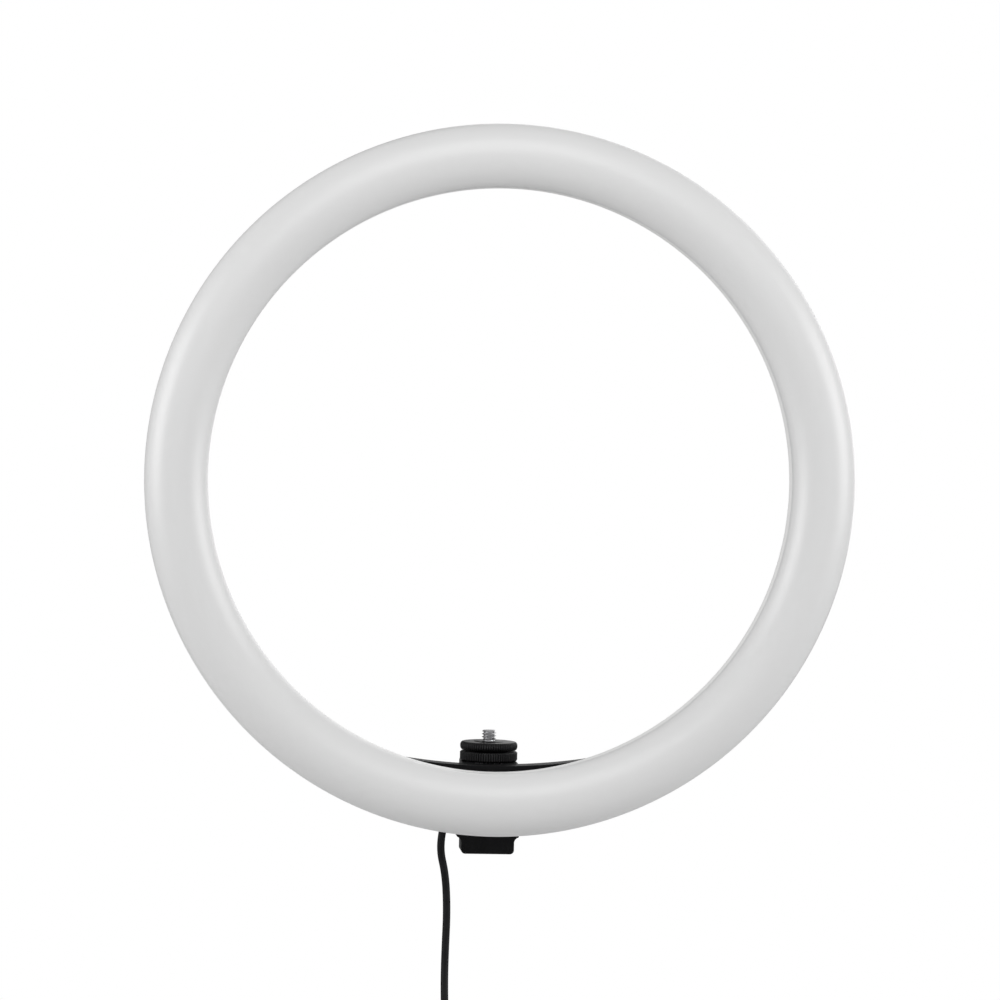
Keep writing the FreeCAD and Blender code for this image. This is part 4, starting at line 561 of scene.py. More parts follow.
def button_rubber():
    """Matt silicone rubber: soft and slightly dusty."""
    finish = Finish("button_rubber")
    dust = finish.noise(0.0009, 4.0, 0.7)
    skin = finish.noise(0.00018, 2.0)
    return finish.done({
        "Base Color": finish.between(dust * 0.35, BUTTON_RUBBER, BUTTON_DUST),
        "Roughness": dust * 0.15 + 0.52,
        "Specular IOR Level": 0.3,
        "Normal": finish.bump(skin, 0.00002)})


rubber = button_rubber()
flange_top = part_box("housing_back")[1].y - FLANGE_SET
quarter = np.linspace(0, np.pi / 2, 6)
for node, body in (("power_button", "power_key"), ("warm_button", "warm_key"), ("cool_button", "cool_key")):
    low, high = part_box(node)
    middle = ((low.x + high.x) / 2, 0.0, (low.z + high.z) / 2)
    section = button_outline(low.y, high.y, flange_top, (high.x - low.x) / 2)
    skins = [(turned(section, middle, "Y", 64), True, False)]
    if node == "power_button":
        dot = np.stack([DOT_RADIUS * np.cos(quarter),
                        high.y - BUTTON_DISH + DOT_RADIUS * 0.5 * np.sin(quarter)], axis=1)
        skins.append((turned(dot, middle, "Y", 24), True, False))
    woven_piece(node + "_cap", skins, body, rubber, node)

# Dimmer: a rotary control whose bush comes through the cover, its flatted shaft, and a black knob with
# rounded grips round its rim and a white pointer let into its face.
KNOB_TAPER = 0.0005
KNOB_GRIPS = 30
GRIP_DEPTH = 0.00035
KNOB_EDGE = 0.0007
KNOB_DISH = 0.0003
KNOB_CHAMFER = 0.0003
KNOB_FACE_WALL = 0.002
GRIP_STEPS = 12
GRIP_FADE = 0.0012
SHAFT_GAP = 0.00002
POINTER_WIDTH = 0.0008
POINTER_RISE = 0.00028
POINTER_SINK = 0.0001
POINTER_START = 0.0022
POINTER_STOP = 0.0018
POINTER_WHITE = (0.72, 0.72, 0.70)
KNOB_BLACK = (0.009, 0.009, 0.010)
NICKELLED = (0.55, 0.54, 0.51)
NICKELLED_DULL = (0.44, 0.43, 0.41)


def dimmer_outline(low, high, radius, bore):
    """Knob section: dished face, round edge, slightly tapered side, open back and its bore."""
    face = np.linspace(0.0, radius - KNOB_TAPER - KNOB_EDGE, 14)
    dish = np.stack([face, high.y - KNOB_DISH * (1 - (face / face[-1]) ** 2)], axis=1)
    edge = arc((radius - KNOB_TAPER - KNOB_EDGE, high.y - KNOB_EDGE), KNOB_EDGE, 90, 4, 6)
    side = np.stack([np.linspace(radius - KNOB_TAPER, radius, 10),
                     np.linspace(high.y - KNOB_EDGE, low.y + KNOB_CHAMFER, 10)], axis=1)
    back = [[radius - KNOB_CHAMFER, low.y], [bore, low.y],
            [bore, high.y - KNOB_FACE_WALL], [0.0, high.y - KNOB_FACE_WALL]]
    return np.concatenate([dish, edge[1:], side[1:], back])


knob_low, knob_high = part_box("dimmer_knob")
knob_radius = (knob_high.x - knob_low.x) / 2
knob_middle = ((knob_low.x + knob_high.x) / 2, 0.0, (knob_low.z + knob_high.z) / 2)
shaft_low, shaft_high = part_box("dimmer_shaft")
shaft_radius = (shaft_high.x - shaft_low.x) / 2

# Between its grips the rim is pushed in by depth * (1 - |sin(n t / 2)| ^ 0.8), less towards the face.
knob_section = dimmer_outline(knob_low, knob_high, knob_radius, shaft_radius + SHAFT_GAP)
knob_grid = turned(knob_section, knob_middle, "Y", KNOB_GRIPS * GRIP_STEPS)
on_side = ((knob_section[:, 0] > knob_radius - KNOB_TAPER - KNOB_EDGE)
           & (knob_section[:, 1] < knob_high.y - 0.3 * KNOB_EDGE))[None, :]
fade = np.clip((knob_high.y - knob_section[:, 1]) / GRIP_FADE, 0, 1)[None, :]
valley = 1 - np.abs(np.sin(whole_turn(KNOB_GRIPS * GRIP_STEPS) * KNOB_GRIPS / 2)) ** 0.8
groove = valley * GRIP_DEPTH * fade * on_side
away = knob_grid - np.array([knob_middle[0], 0.0, knob_middle[2]])
away[:, :, 1] = 0.0
away /= np.maximum(np.linalg.norm(away, axis=2, keepdims=True), 1e-9)
woven_piece("dimmer_grip", [(knob_grid - away * groove[:, :, None], True, False)], "dimmer",
            moulded_black("knob_black", KNOB_BLACK, 0.00002, 0.36), "dimmer_knob")


def rounded_bar(start, end, width, rise, steps=9):
    """A bar with a half-round section and round ends, from one point to another on a face that
    looks along +Y: its outline is a stadium, and its height falls to the edge as a circle does."""
    start, end = np.array(start, float), np.array(end, float)
    ends = np.concatenate([arc((0.0, 0.0), 1.0, -90, 90, steps), arc((0.0, 0.0), 1.0, 90, 270, steps)])
    far = np.repeat([1.0, 0.0], steps)[:, None]
    way = (end - start) / np.linalg.norm(end - start)
    across = np.cross(way, (0.0, 1.0, 0.0))
    shrink = np.cos(np.linspace(0, np.pi / 2, 5))[:, None, None] * width / 2
    lift = np.sin(np.linspace(0, np.pi / 2, 5))[:, None, None] * rise
    spine = start + (end - start) * far
    return spine + shrink * (ends[:, :1] * way + ends[:, 1:] * across) + lift * np.array((0.0, 1.0, 0.0))


pointer_foot = knob_high.y - POINTER_SINK
pointer_grid = rounded_bar((knob_middle[0], pointer_foot - KNOB_DISH, knob_middle[2] + POINTER_START),
                           (knob_middle[0], pointer_foot, knob_middle[2] + knob_radius - POINTER_STOP),
                           POINTER_WIDTH, POINTER_RISE)

# The pointer is white ink, a little uneven. The control's can and shaft are nickelled die castings.
pointer_ink = mottled("pad_print", POINTER_WHITE, shaded(POINTER_WHITE, 0.85), 0.0004, (0.1, 0.5))
woven_piece("dimmer_pointer", [(pointer_grid, False, True)], "dimmer", pointer_ink)
casting = mottled("zinc_casting", NICKELLED, NICKELLED_DULL, 0.0009, (0.2, 0.3), 0.00002, 1.0)
paint_node("dimmer_pot", casting)
paint_node("dimmer_shaft", casting)

# Bracket and cold shoe: one moulding of glass-filled nylon screwed to the housing's rear, with the
# tongue of the tilt joint under its platform. The shoe on top is black anodised, with two flush screws.
BRACKET_BLACK = (0.0045, 0.0045, 0.0049)
BRACKET_EASE = 0.00045
SHOE_EASE = 0.0002
SHOE_BLACK = (0.0060, 0.0060, 0.0066)
SHOE_WORN = (0.22, 0.22, 0.23)
SHOE_LIP = 0.00625
LIP_WEAR = 0.0008
shoe_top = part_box("cold_shoe")[1].z


def shoe_finish():
    """Black shoe finish: a low ripple, and fine bright scratches along the rails' lips, where
    adapters slide in and out."""
    finish = Finish("shoe_finish")
    x, y, z = finish.axes()
    ripple = finish.noise(0.0011, 2.0)
    scratch = finish.noise(0.0007, 3.0, 0.6, (1.0, 0.1, 1.0))
    lip = finish.ramp(x.size(), SHOE_LIP + LIP_WEAR, SHOE_LIP)
    rail = finish.ramp(z, shoe_top - 2 * LIP_WEAR, shoe_top - LIP_WEAR)
    worn = finish.ramp(lip * rail * 0.22 + scratch, 0.68, 0.80)
    return finish.done({
        "Base Color": finish.between(worn, SHOE_BLACK, SHOE_WORN),
        "Metallic": worn * 0.9,
        "Roughness": ripple * 0.12 + 0.36,
        "Specular IOR Level": 0.16,
        "Normal": finish.bump(ripple, 0.00003)})


bracket_nylon = moulded_black("bracket_nylon", BRACKET_BLACK, 0.00004, 0.40)
eased_copy("head_bracket", "bracket", "head", bracket_nylon, BRACKET_EASE)
eased_copy("bracket_screws", "bracket_heads", "head", black_oxide, SCREW_EASE)
eased_copy("cold_shoe", "shoe_channel", "head", shoe_finish(), SHOE_EASE)
paint_node("shoe_screws", black_oxide)

# Shoe adapter: a square plate that slides in the shoe, a steel stud riveted in it, and two knurled
# wheels of black anodised aluminium on the stud, the lower to clamp the plate and the upper the load.
WHEEL_RIBS = 72
RIB_SAMPLES = 8
RIB_DEPTH = 0.00042
RIB_ROUND = 0.75
WHEEL_BEAD = 0.0014
WHEEL_BEVEL = 0.0005
WHEEL_BORE = 0.0029
HUB_RADIUS = 0.0065
HUB_RISE = 0.00025
WHEEL_FADE = 0.0005
ANODISED = (0.0085, 0.0085, 0.009)
# Colour of the rib tips: rubbed metal, and a painted highlight along each rib.
TIP_WEAR_AND_HIGHLIGHT = (0.055, 0.055, 0.058)
TURNING_RINGS = 5200.0
STEEL_BRIGHT = (0.60, 0.60, 0.61)
STEEL_OILED = (0.42, 0.42, 0.43)
TURNED_MARK = 0.00012
TURNED_STRETCH = (0.15, 0.15, 1.0)
THREAD_PITCH = 0.00127
THREAD_DEPTH = 0.00078
THREAD_CREST = 0.125
THREAD_FLANK = 0.625
THREAD_STEPS = 72
THREAD_LEAD = 0.0004
THREAD_TIP = 0.0006
SHANK_RADIUS = 0.00285
SHANK_NECK = 0.0025
SHANK_EASE = 0.0001
PLATE_EASE = 0.00025
PLATE_BLACK = (0.010, 0.010, 0.011)


def anodised_rim(name, radius):
    """Black anodised aluminium: fine turning rings on its faces, and rib tips painted lighter, partly as
    rubbed wear and partly as a painted highlight.
    """
    finish = Finish(name)
    x, y, z = finish.axes()
    reach = (x * x + y * y).root()
    # Rib tips painted lighter: rubbed wear, and a painted highlight where the ribs catch the light.
    tip_wear_and_highlight = finish.ramp(reach, radius - 0.00016, radius - 0.00002)
    patches = finish.noise(0.003, 4.0, 0.6)
    rings = ((reach * TURNING_RINGS).part() - 0.5).size()
    return finish.done({
        "Base Color": finish.between(tip_wear_and_highlight * patches * 0.9, ANODISED, TIP_WEAR_AND_HIGHLIGHT),
        "Metallic": 0.6,
        "Roughness": patches * 0.15 + 0.32,
        "Specular IOR Level": 0.3,
        "Normal": finish.bump(rings, 0.000006)})


def wheel_outline(low, high, radius, bead):
    """Section of a wheel: under face, rim with bevels or a round bead, top face, hub and bore."""
    hub_top = high + HUB_RISE
    if bead:
        rim = arc((0, 0), 1.0, -90, 90, 15)
        rim = np.stack([radius - WHEEL_BEAD + WHEEL_BEAD * np.abs(rim[:, 0]) ** 0.8,
                        (low + high) / 2 + (high - low) / 2 * rim[:, 1]], axis=1)
    else:
        side = np.linspace(low + WHEEL_BEVEL, high - WHEEL_BEVEL, 13)
        rim = np.concatenate([[[radius - WHEEL_BEVEL, low]],
                              np.stack([np.full(13, radius), side], axis=1),
                              [[radius - WHEEL_BEVEL, high]]])
    return np.concatenate([[[WHEEL_BORE, low], [WHEEL_BORE + 0.001, low]], rim,
                           [[HUB_RADIUS + 0.0002, high], [HUB_RADIUS, hub_top - 0.00005],
                            [HUB_RADIUS - 0.0001, hub_top], [WHEEL_BORE + 0.0003, hub_top],
                            [WHEEL_BORE, hub_top - 0.0003]]])


def knurled(outline, radius, low, high):
    """The outline turned once, with its rim pushed in between ribs: by depth * (1 - |sin(n t / 2)| ^ k),
    which fades out towards the rim's two edges."""
    steps = WHEEL_RIBS * RIB_SAMPLES
    grid = turned(outline, ORIGIN, "Z", steps)
    valley = 1 - np.abs(np.sin(whole_turn(steps) * WHEEL_RIBS / 2)) ** RIB_ROUND
    edge = np.minimum(outline[:, 1] - low, high - outline[:, 1])
    fade = 0.35 + 0.65 * np.clip(edge / WHEEL_FADE, 0, 1)
    on_rim = outline[:, 0] > radius - 1.05 * WHEEL_BEAD
    scale = 1 - RIB_DEPTH * valley * (fade * on_rim)[None, :] / outline[None, :, 0]
    grid[:, :, :2] *= scale[:, :, None]
    return grid


for node, body, bead in (("lower_wheel", "lower_thumb_wheel", False),
                         ("upper_wheel", "upper_thumb_wheel", True)):
    low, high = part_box(node)
    top = high.z - HUB_RISE
    section = wheel_outline(low.z, top, high.x, bead)
    woven_piece(node + "_rim", [(knurled(section, high.x, low.z, top), True, True)], body,
                anodised_rim(node + "_finish", high.x), node, 40.0)


def thread_radius(turn, height, radius):
    """A 60 degree thread: at full radius on the crest, where the phase height / pitch - turn is a
    half, and a thread's depth less in the root, with straight flanks between."""
    phase = (height / THREAD_PITCH - turn / (2 * np.pi)) % 1.0
    from_crest = np.abs(2 * phase - 1)
    return radius - THREAD_DEPTH * np.clip((from_crest - THREAD_CREST) / THREAD_FLANK, 0, 1)


# The stud's thread is held inside its tapered tip and its runout, over a plain shank.
stud_low, stud_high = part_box("top_stud")
thread_turn = whole_turn(THREAD_STEPS)
free_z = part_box("upper_wheel")[1].z + THREAD_LEAD
thread_rows = np.linspace(free_z, stud_high.z, 90)
envelope = np.minimum(stud_high.x - THREAD_TIP + (stud_high.z - thread_rows), stud_high.x)
envelope = np.minimum(envelope, SHANK_NECK + (thread_rows - free_z))
threaded = np.minimum(thread_radius(thread_turn, thread_rows, stud_high.x), envelope)
shank_top = free_z - THREAD_LEAD
shank = np.array([[0.0, stud_low.z], [SHANK_RADIUS, stud_low.z], [SHANK_RADIUS, shank_top],
                  [SHANK_NECK, shank_top + SHANK_EASE]])
radii = np.concatenate([np.tile(shank[:, 0], (THREAD_STEPS, 1)), threaded,
                        np.zeros((THREAD_STEPS, 1))], axis=1)
heights = np.concatenate([shank[:, 1], thread_rows, [stud_high.z]])

# Machined steel has faint rings from turning, and a thin grey film of oil.
steel = bare_metal("machined_steel", STEEL_BRIGHT, STEEL_OILED, (0.0014, 0.6), (0.2, 0.2),
                   TURNED_MARK, TURNED_STRETCH)
woven_piece("threaded_stud", [(spun(radii, heights, ORIGIN, "Z"), True, False)], "adapter",
            steel, "top_stud")
eased_copy("shoe_plate", "slide_plate", "adapter",
           moulded_black("slide_black", PLATE_BLACK, 0.00001, 0.30), PLATE_EASE)

# Foot: a nylon clevis with two ears round the tongue, and a brass bush with the tripod thread set
# flush in its bottom. A hexagon bolt passes through both ears, the tongue and two nylon washers.
FOOT_EASE = 0.0005
BOLT_EASE = 0.0003
WASHER_EASE = 0.00015
BUSH_THREAD = 0.003175
BUSH_MOUTH = 0.0003
BUSH_GROOVE = 0.0004
BUSH_EASE = 0.0002
BRASS = (0.72, 0.50, 0.20)
NATURAL_NYLON = (0.58, 0.57, 0.52)

eased_copy("foot_clevis", "foot_body", "foot", bracket_nylon, FOOT_EASE)

# The bush's thread is the stud's turned inside out, wider at the mouth, in a grooved barrel.
bush_low, bush_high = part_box("thread_bush")
bush_rows = np.linspace(bush_low.z, bush_high.z, 150)
mouth = BUSH_THREAD + BUSH_MOUTH - (bush_rows - bush_low.z)
inner = 2 * BUSH_THREAD - THREAD_DEPTH - thread_radius(thread_turn, bush_rows, BUSH_THREAD)
middle_z = (bush_low.z + bush_high.z) / 2
outside = np.array([[bush_high.x, bush_high.z], [bush_high.x, middle_z + BUSH_GROOVE],
                    [bush_high.x - BUSH_GROOVE, middle_z + BUSH_GROOVE],
                    [bush_high.x - BUSH_GROOVE, middle_z - BUSH_GROOVE],
                    [bush_high.x, middle_z - BUSH_GROOVE], [bush_high.x, bush_low.z + BUSH_EASE],
                    [bush_high.x - BUSH_EASE, bush_low.z]])
radii = np.concatenate([np.maximum(inner, mouth), np.tile(outside[:, 0], (THREAD_STEPS, 1))], axis=1)
heights = np.concatenate([bush_rows, outside[:, 1]])

# Free-cutting brass has turning marks, and tarnishes in soft patches.
brass = bare_metal("turned_brass", BRASS, shaded(BRASS, 0.6), (0.002, 0.6), (0.25, 0.2),
                   TURNED_MARK, TURNED_STRETCH)
woven_piece("threaded_bush", [(spun(radii, heights, ORIGIN, "Z"), True, True)], "foot",
            brass, "thread_bush")
eased_copy("tilt_bolt", "hex_bolt", "foot", zinc, BOLT_EASE)
washer_nylon = mottled("natural_nylon", NATURAL_NYLON, shaded(NATURAL_NYLON, 0.9), 0.001, (0.15, 0.4))
paint_node("friction_washers", washer_nylon)
eased_copy("knob_washer", "plain_washer", "foot", zinc, WASHER_EASE)

# Tilt knob: a lobed grip moulded in black nylon, with a hexagon nut of brass in its pocket. It turns
# on the bolt's end and clamps the foot's two ears on the tongue.
KNOB_LOBES = 6
SCALLOP_RADIUS = 0.0042
SCALLOP_DEPTH = 0.0016
KNOB_ROUND = 0.0014
KNOB_FACE_DISH = 0.0007
KNOB_BOSS = 0.0064
KNOB_BOSS_LONG = 0.0022
KNOB_BOSS_EASE = 0.0003
LOBE_SOFT = 0.0004
NUT_POCKET = 0.0059
NUT_POCKET_DEEP = 0.0049
KNOB_STEPS = 288
GRIP_NYLON = (0.008, 0.008, 0.009)

grip_low, grip_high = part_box("tilt_knob")
knob_centre = (0.0, (grip_low.y + grip_high.y) / 2, (grip_low.z + grip_high.z) / 2)
KNOB_REACH = (grip_high.y - grip_low.y) / 2


def lobe_reach(turn):
    """Distance of the scalloped rim from the axis: the circle, or, where a scallop bites, the near
    side of a circle centred outside it, with the two joined by a soft minimum."""
    pitch = 2 * np.pi / KNOB_LOBES
    off = (turn + pitch / 2) % pitch - pitch / 2
    far = KNOB_REACH + SCALLOP_RADIUS - SCALLOP_DEPTH
    aside = far * np.sin(off)
    bite = far * np.cos(off) - np.sqrt(np.maximum(SCALLOP_RADIUS ** 2 - aside ** 2, 0.0))
    bite = np.where(np.abs(aside) < SCALLOP_RADIUS, bite, far)
    softened = LOBE_SOFT * np.log1p(np.exp(-np.abs(bite - KNOB_REACH) / LOBE_SOFT))
    return np.minimum(bite, KNOB_REACH) - softened


def spun_rows(rows, steps, centre, axis):
    """Points round an axis from rows of (radii, height), each with one radius, or one for each
    step of the turn."""
    radii = [np.broadcast_to(radius, (steps, 1)) for radius, height in rows]
    return spun(np.concatenate(radii, axis=1), [height for radius, height in rows], centre, axis)


reach = lobe_reach(whole_turn(KNOB_STEPS))
rim_in = arc((0.0, KNOB_ROUND), KNOB_ROUND, -90, 0, 7)
rim_out = arc((0.0, 0.0), KNOB_ROUND, 0, 90, 7)
grip_x = grip_low.x + KNOB_BOSS_LONG
dish_radius = 0.62 * KNOB_REACH
rows = [(NUT_POCKET, grip_low.x), (KNOB_BOSS - KNOB_BOSS_EASE, grip_low.x),
        (KNOB_BOSS, grip_low.x + KNOB_BOSS_EASE), (KNOB_BOSS, grip_x)]
rows += [(reach - KNOB_ROUND + step[0], grip_x + step[1]) for step in rim_in]
rows += [(reach - KNOB_ROUND + step[0], grip_high.x - KNOB_ROUND + step[1]) for step in rim_out]
rows += [(dish_radius * share, grip_high.x - KNOB_FACE_DISH * (1 - share ** 2))
         for share in np.linspace(1.0, 0.0, 8)]
pocket_end = grip_low.x + NUT_POCKET_DEEP
pocket = [(NUT_POCKET, grip_low.x), (NUT_POCKET, pocket_end), (0.0, pocket_end)]
skins = [(spun_rows(part, KNOB_STEPS, knob_centre, "X"), True, False) for part in (rows, pocket)]
woven_piece("tilt_grip", skins, "tilt_handle",
            moulded_black("knob_nylon", GRIP_NYLON, 0.00004, 0.38), "tilt_knob")
paint_node("tilt_knob_nut", brass)

# Strain relief: a boot of soft PVC moulded on the cord. Its flange, flattened at two sides, sits inside
# the housing's lower wall, and three grooves in the taper below let the cord bend without a kink.
BOOT_GROOVES = 3
BOOT_GROOVE = 0.0007
BOOT_GROOVE_EASE = 0.00006
BOOT_CORE = 0.00215
BOOT_TOP = 0.0036
BOOT_END = 0.00235
BOOT_END_EASE = 0.0003
BOOT_MOUTH = 0.0017
BOOT_BORE = 0.0012
BOOT_NECK = 0.0024
BOOT_NECK_Z = 0.0206
BOOT_FLANGE = 0.0042
BOOT_FLANGE_FLAT = 0.0022
BOOT_FLANGE_THICK = 0.0014
BOOT_STEPS = 64
CORD_BLACK = (0.0050, 0.0050, 0.0054)


def pvc_sheath():
    """Flexible PVC: matt black with a faint bloom, and fine drag lines from the extruder."""
    finish = Finish("cord_sheath")
    bloom = finish.noise(0.006, 4.0, 0.6)
    drag = finish.noise(0.00045, 2.0, stretch=(1.0, 1.0, 0.2))
    hazy = finish.ramp(bloom, 0.4, 0.8)
    return finish.done({
        "Base Color": finish.between(hazy, CORD_BLACK, shaded(CORD_BLACK, 2.2)),
        "Roughness": bloom * 0.15 + 0.42,
        "Specular IOR Level": 0.11,
        "Normal": finish.bump(drag, 0.00002)})


boot_low, boot_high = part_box("cord_boot")
boot_centre = ((boot_low.x + boot_high.x) / 2, (boot_low.y + boot_high.y) / 2, 0.0)
flange_low = boot_high.z - BOOT_FLANGE_THICK

# The taper is pinched to its core at each groove by a soft step, and rounded at its end.
slope_rows = np.linspace(boot_low.z, BOOT_NECK_Z, 100)
above_end = slope_rows - boot_low.z
neck_long = BOOT_NECK_Z - boot_low.z
slope = BOOT_END + (BOOT_TOP - BOOT_END) * above_end / neck_long
grooves = neck_long / (BOOT_GROOVES + 1) * np.arange(1, BOOT_GROOVES + 1)
off_groove = np.abs(above_end[:, None] - grooves).min(axis=1)
slope -= (slope - BOOT_CORE) / (1 + np.exp((off_groove - BOOT_GROOVE / 2) / BOOT_GROOVE_EASE))
end_round = np.sqrt(np.clip(above_end, 0, BOOT_END_EASE) * BOOT_END_EASE)
slope = np.minimum(slope, BOOT_END - BOOT_END_EASE + end_round)

flange_width = BOOT_FLANGE_FLAT / np.maximum(np.abs(np.sin(whole_turn(BOOT_STEPS))), 1e-6)
flange_width = np.minimum(BOOT_FLANGE, flange_width)
boot_rows = [(BOOT_BORE, boot_low.z + BOOT_BORE), (BOOT_MOUTH, boot_low.z), *zip(slope, slope_rows),
             (BOOT_NECK, BOOT_NECK_Z), (BOOT_NECK, flange_low), (flange_width, flange_low),
             (flange_width, boot_high.z), (0.0, boot_high.z)]
boot_grid = spun_rows(boot_rows, BOOT_STEPS, boot_centre, "Z")
sheath = pvc_sheath()
woven_piece("strain_relief", [(boot_grid, True, False)], "head", sheath, "cord_boot", 50.0)

# Supply cord: 1.91 m of black PVC cable, 3.3 mm thick. It hangs beside the foot, and the length that
# is put away is wound in a coil of 14 turns, from which a short tail leads to the plug.
CORD_THICK = 0.0033
LEAD_POINTS = [(-0.0206, -0.01875, 0.0120), (-0.0221, -0.01875, 0.0044), (-0.0190, -0.0189, -0.0076),
               (-0.0180, -0.0190, -0.0235), (-0.0184, -0.0192, -0.0395), (-0.0186, -0.0208, -0.0525),
               (-0.0186, -0.0267, -0.0650)]
TAIL_POINTS = [(-0.03075, -0.04627, -0.1113), (-0.0312, -0.0452, -0.1236), (-0.0313, -0.0440, -0.1346)]
COIL_CENTRE = (-0.0186, -0.01875, -0.096)
COIL_RADIUS = 0.020
COIL_PITCH = 0.00405
COIL_TURNS = 14.125
COIL_LAYERS = 4
COIL_START = 135.0
POINTS_PER_TURN = 24


def coil_points():
    """The coil, wound in and out again layer by layer round an axis along X: its radius falls and
    rises by a pitch a turn, and each layer lies a pitch further along the axis."""
    turn = np.arange(round(COIL_TURNS * POINTS_PER_TURN) + 1) / POINTS_PER_TURN
    per_layer = COIL_TURNS / COIL_LAYERS
    phase = (turn / per_layer) % 2
    radius = COIL_RADIUS + COIL_PITCH * per_layer * (0.5 - np.minimum(phase, 2 - phase))
    climb = np.clip((turn[:, None] - per_layer * np.arange(1, COIL_LAYERS)) * 2 + 0.5, 0, 1)
    layer = (climb * climb * (3 - 2 * climb)).sum(axis=1)
    angle = np.radians(COIL_START) + 2 * np.pi * turn
    return np.stack([COIL_CENTRE[0] - COIL_PITCH * layer,
                     COIL_CENTRE[1] + radius * np.cos(angle),
                     COIL_CENTRE[2] + radius * np.sin(angle)], axis=1)


route = np.concatenate([LEAD_POINTS, coil_points(), TAIL_POINTS])
cord_curve = bpy.data.curves.new("supply_cord", "CURVE")
cord_curve.dimensions = "3D"
cord_curve.resolution_u = 8
cord_curve.bevel_depth = CORD_THICK / 2
cord_curve.bevel_resolution = 4
cord_curve.use_fill_caps = True
cord_line = cord_curve.splines.new("NURBS")
cord_line.points.add(len(route) - 1)
cord_line.points.foreach_set("co", np.concatenate([route, np.ones((len(route), 1))], axis=1).ravel())
cord_line.order_u = 3
cord_line.use_endpoint_u = True
supply_cord = bpy.data.objects.new("supply_cord", cord_curve)
bpy.context.scene.collection.objects.link(supply_cord)
cord_curve.materials.append(sheath)
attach(supply_cord, "head")
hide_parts("cord_lead", "cord_coil", "cord_tail")

# Tie and plug: a hook-and-loop strap closes the coil. The plug is a moulded grip over a drawn shell of
# nickel-plated steel, and a white tongue inside the shell carries four gilt contacts.
STRAP_EASE = 0.00035
STRAP_BLACK = (0.006, 0.006, 0.007)
STRAP_FLUFF = (0.06, 0.06, 0.062)
WEAVE_COUNT = 1600.0
PLUG_BLACK = (0.008, 0.008, 0.009)
PLUG_EASE = 0.0003
NICKEL = (0.68, 0.66, 0.63)
NICKEL_DULL = (0.56, 0.55, 0.53)
CAN_EASE = 0.0001
TONGUE_WHITE = (0.74, 0.74, 0.71)
CONTACT_GILT = (0.80, 0.56, 0.20)
CONTACT_HALF = 0.0005
CONTACTS_INNER = 0.001
CONTACTS_OUTER = 0.0035
CONTACT_DEEP = 0.0001


def woven_strap():
    """Hook-and-loop strap: a nap of fine loops over a plain weave, grey where it has fluffed."""
    finish = Finish("woven_strap")
    x, y, z = finish.axes()
    weave = ((x * WEAVE_COUNT).part() - 0.5).size() + ((z * WEAVE_COUNT).part() - 0.5).size()
    nap = finish.noise(0.0003, 4.0, 0.8)
    fluff = finish.noise(0.002, 3.0)
    return finish.done({
        "Base Color": finish.between(nap * fluff, STRAP_BLACK, STRAP_FLUFF),
        "Roughness": 0.85,
        "Sheen Weight": 0.4,
        "Normal": finish.bump(weave * 0.5 + nap * 0.5, 0.00012)})


def nickel_plate():
    """Nickel-plated steel: bright, with fine wiping scratches along the plug."""
    finish = Finish("nickel_plate")
    wipe = finish.noise(0.00025, 3.0, stretch=(1.0, 1.0, 0.1))
    cloud = finish.noise(0.003, 4.0, 0.6)
    return finish.done({
        "Base Color": finish.between(cloud, NICKEL, NICKEL_DULL),
        "Metallic": 1.0,
        "Roughness": wipe * 0.15 + 0.16,
        "Normal": finish.bump(wipe, 0.000006)})


def contact_tongue():
    """White insulator with four gilt contacts let into the face that looks along -Y."""
    finish = Finish("contact_tongue")
    x, y, z = finish.axes()
    low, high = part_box("plug_tongue")
    aside = (x - (low.x + high.x) / 2).size()
    inner = (aside - CONTACTS_INNER).size() < CONTACT_HALF
    outer = (aside - CONTACTS_OUTER).size() < CONTACT_HALF
    gilt = (inner + outer) * (y < (low.y + CONTACT_DEEP))
    speck = finish.noise(0.0006, 3.0)
    return finish.done({
        "Base Color": finish.between(gilt, TONGUE_WHITE, CONTACT_GILT),
        "Metallic": gilt,
        "Roughness": speck * 0.15 + 0.28})


strap = eased_copy("coil_tie", "tie_strap", "head", woven_strap(), STRAP_EASE)
plug_body = eased_copy("plug_grip", "plug_body", "head",
                       moulded_black("plug_black", PLUG_BLACK, 0.00003, 0.36), PLUG_EASE)
plug_can = eased_copy("plug_shell", "plug_can", "head", nickel_plate(), CAN_EASE)
paint_node("plug_tongue", contact_tongue())

# The studio: a pale floor well below the hanging cord, whose rim fades into the white surround, and
# soft panels of light at both sides, above and behind. The camera stands a little to the ring's left.
FLOOR_Z = -0.45
FLOOR_RADIUS = 4.5
FADE_START = 0.8
FADE_END = 2.2
FLOOR_PALE = (0.70, 0.70, 0.70)
FLOOR_PALER = (0.73, 0.73, 0.73)
PANELS = (((-1.5, -0.6, 0.45), 0.9, 13.0), ((1.5, -0.6, 0.45), 0.9, 13.0),
          ((0.0, -0.8, 0.75), 0.6, 3.0), ((0.9, 1.5, 0.80), 1.8, 11.0))
WHITE_SURROUND = 1.0
LIT_SIDE = (0.0, -0.98, 0.20)
LIT_START = -0.5
LIT_END = 0.5
LIT_STRENGTH = 0.52
SHADE_STRENGTH = 0.30
LENS = 124.55
SENSOR = 36.0
SIGHT_END = 50.0
CAMERA_DISTANCE = 1.48
CAMERA_YAW = 4.9
CAMERA_ROLL = 1.4
CAMERA_RISE = 0.018
AIM_DROP = 0.0082
AIM_LEFT = 0.0008
FACE_SET = 0.011

floor_rim = turned(np.array([[0.0, FLOOR_Z], [FLOOR_RADIUS, FLOOR_Z]]), ORIGIN, "Z", 96)
floor_mesh = woven_mesh("floor", [(floor_rim, True, False)])
floor = bpy.data.objects.new("floor", floor_mesh)
bpy.context.scene.collection.objects.link(floor)


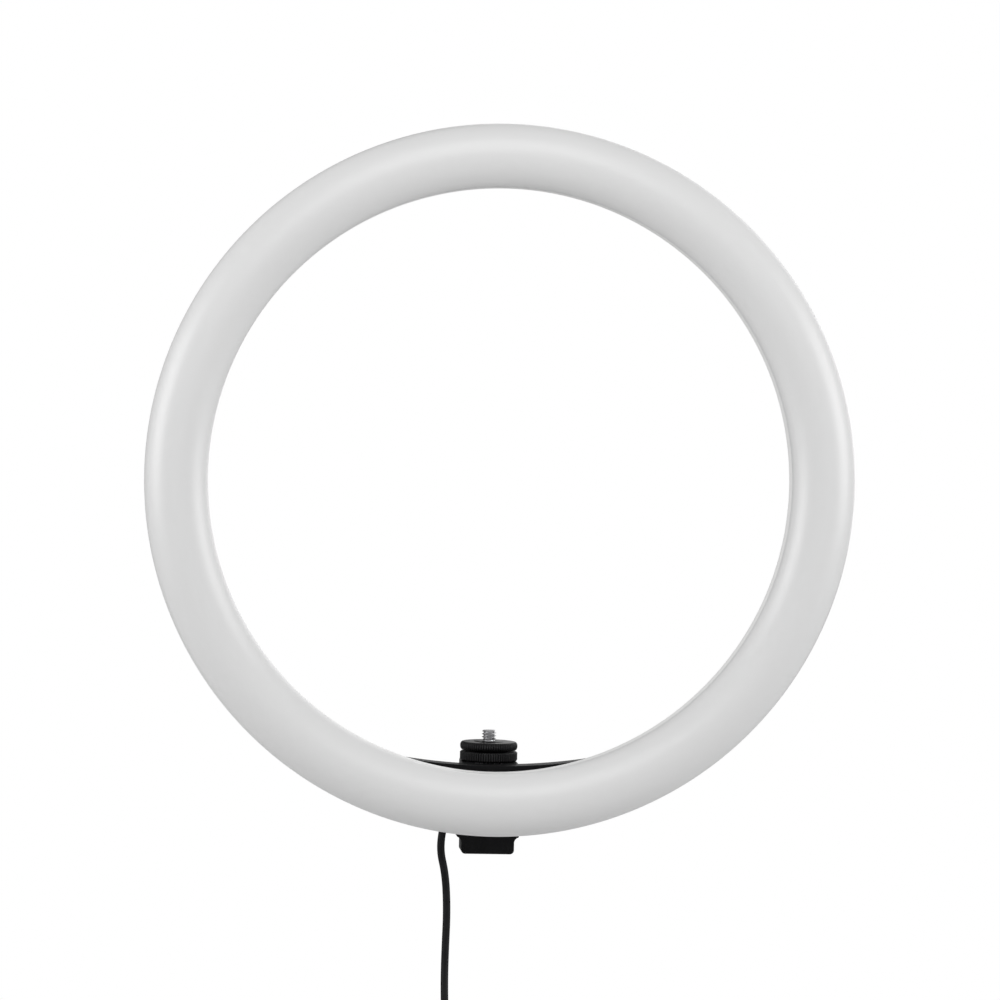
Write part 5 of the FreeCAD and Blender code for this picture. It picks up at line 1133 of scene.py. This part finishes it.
def studio_floor():
    """Matt pale paint near the object, which fades away into the surround towards the rim."""
    finish = Finish("studio_floor")
    here = finish.node("TexCoord", {}, {}, "Object")
    reach = finish.node("VectorMath", {"operation": "LENGTH"}, {0: here}, "Value")
    fade = finish.ramp(reach, FADE_START, FADE_END)
    speckle = finish.noise(0.02, 3.0)
    finish.done({
        "Base Color": finish.between(speckle, FLOOR_PALE, FLOOR_PALER),
        "Roughness": 0.8})
    paint = Value(finish, finish.shader.outputs[0])
    faded = finish.node("BsdfTransparent", {}, {})
    mixed = finish.node("MixShader", {}, {0: fade, 1: paint, 2: faded})
    finish.fill(finish.tree.nodes["Material Output"].inputs[0], mixed)
    return finish.material


floor_mesh.materials.append(studio_floor())


class Surround(Finish):
    """The studio round the object: its own node tree, filled as a finish is."""

    def __init__(self, name):
        self.world = bpy.data.worlds.new(name)
        self.world.use_nodes = True
        self.tree = self.world.node_tree
        self.background = self.tree.nodes["Background"]


surround = Surround("surround")
way = surround.node("TexCoord", {}, {}, "Generated")
facing = surround.node("VectorMath", {"operation": "DOT_PRODUCT"}, {0: way, 1: LIT_SIDE}, "Value")
lit = surround.ramp(facing, LIT_START, LIT_END)
light = lit * (LIT_STRENGTH - SHADE_STRENGTH) + SHADE_STRENGTH
seen = surround.node("LightPath", {}, {}, "Is Camera Ray")
surround.fill(surround.background.inputs["Color"], (1.0, 1.0, 1.0))
surround.fill(surround.background.inputs["Strength"], seen * (WHITE_SURROUND - light) + light)
bpy.context.scene.world = surround.world
bpy.context.scene.view_settings.view_transform = "Standard"


def aimed(thing, place, target, roll=0.0):
    """Stands a light or the camera at a place, turned to look at a target."""
    way = Vector(target) - Vector(place)
    turn = way.to_track_quat("-Z", "Y").to_matrix().to_4x4()
    thing.matrix_world = Matrix.Translation(place) @ turn @ Matrix.Rotation(math.radians(roll), 4, "Z")
    bpy.context.scene.collection.objects.link(thing)


face_centre = (ring_centre[0], ring_low.y + FACE_SET, ring_centre[2])
for number, (place, size, watts) in enumerate(PANELS):
    panel = bpy.data.objects.new("panel_%d" % number, bpy.data.lights.new("panel_%d" % number, "AREA"))
    panel.data.shape = "SQUARE"
    panel.data.size = size
    panel.data.energy = watts
    panel.visible_camera = False
    aimed(panel, place, face_centre)

lens_yaw = math.radians(CAMERA_YAW)
camera_place = (face_centre[0] - CAMERA_DISTANCE * math.sin(lens_yaw),
                face_centre[1] - CAMERA_DISTANCE * math.cos(lens_yaw),
                face_centre[2] + CAMERA_RISE)
aim = (face_centre[0] - AIM_LEFT, face_centre[1], face_centre[2] - AIM_DROP)
camera = bpy.data.objects.new("camera", bpy.data.cameras.new("camera"))
camera.data.lens = LENS
camera.data.sensor_width = SENSOR
camera.data.clip_end = SIGHT_END
aimed(camera, camera_place, aim, CAMERA_ROLL)
bpy.context.scene.camera = camera
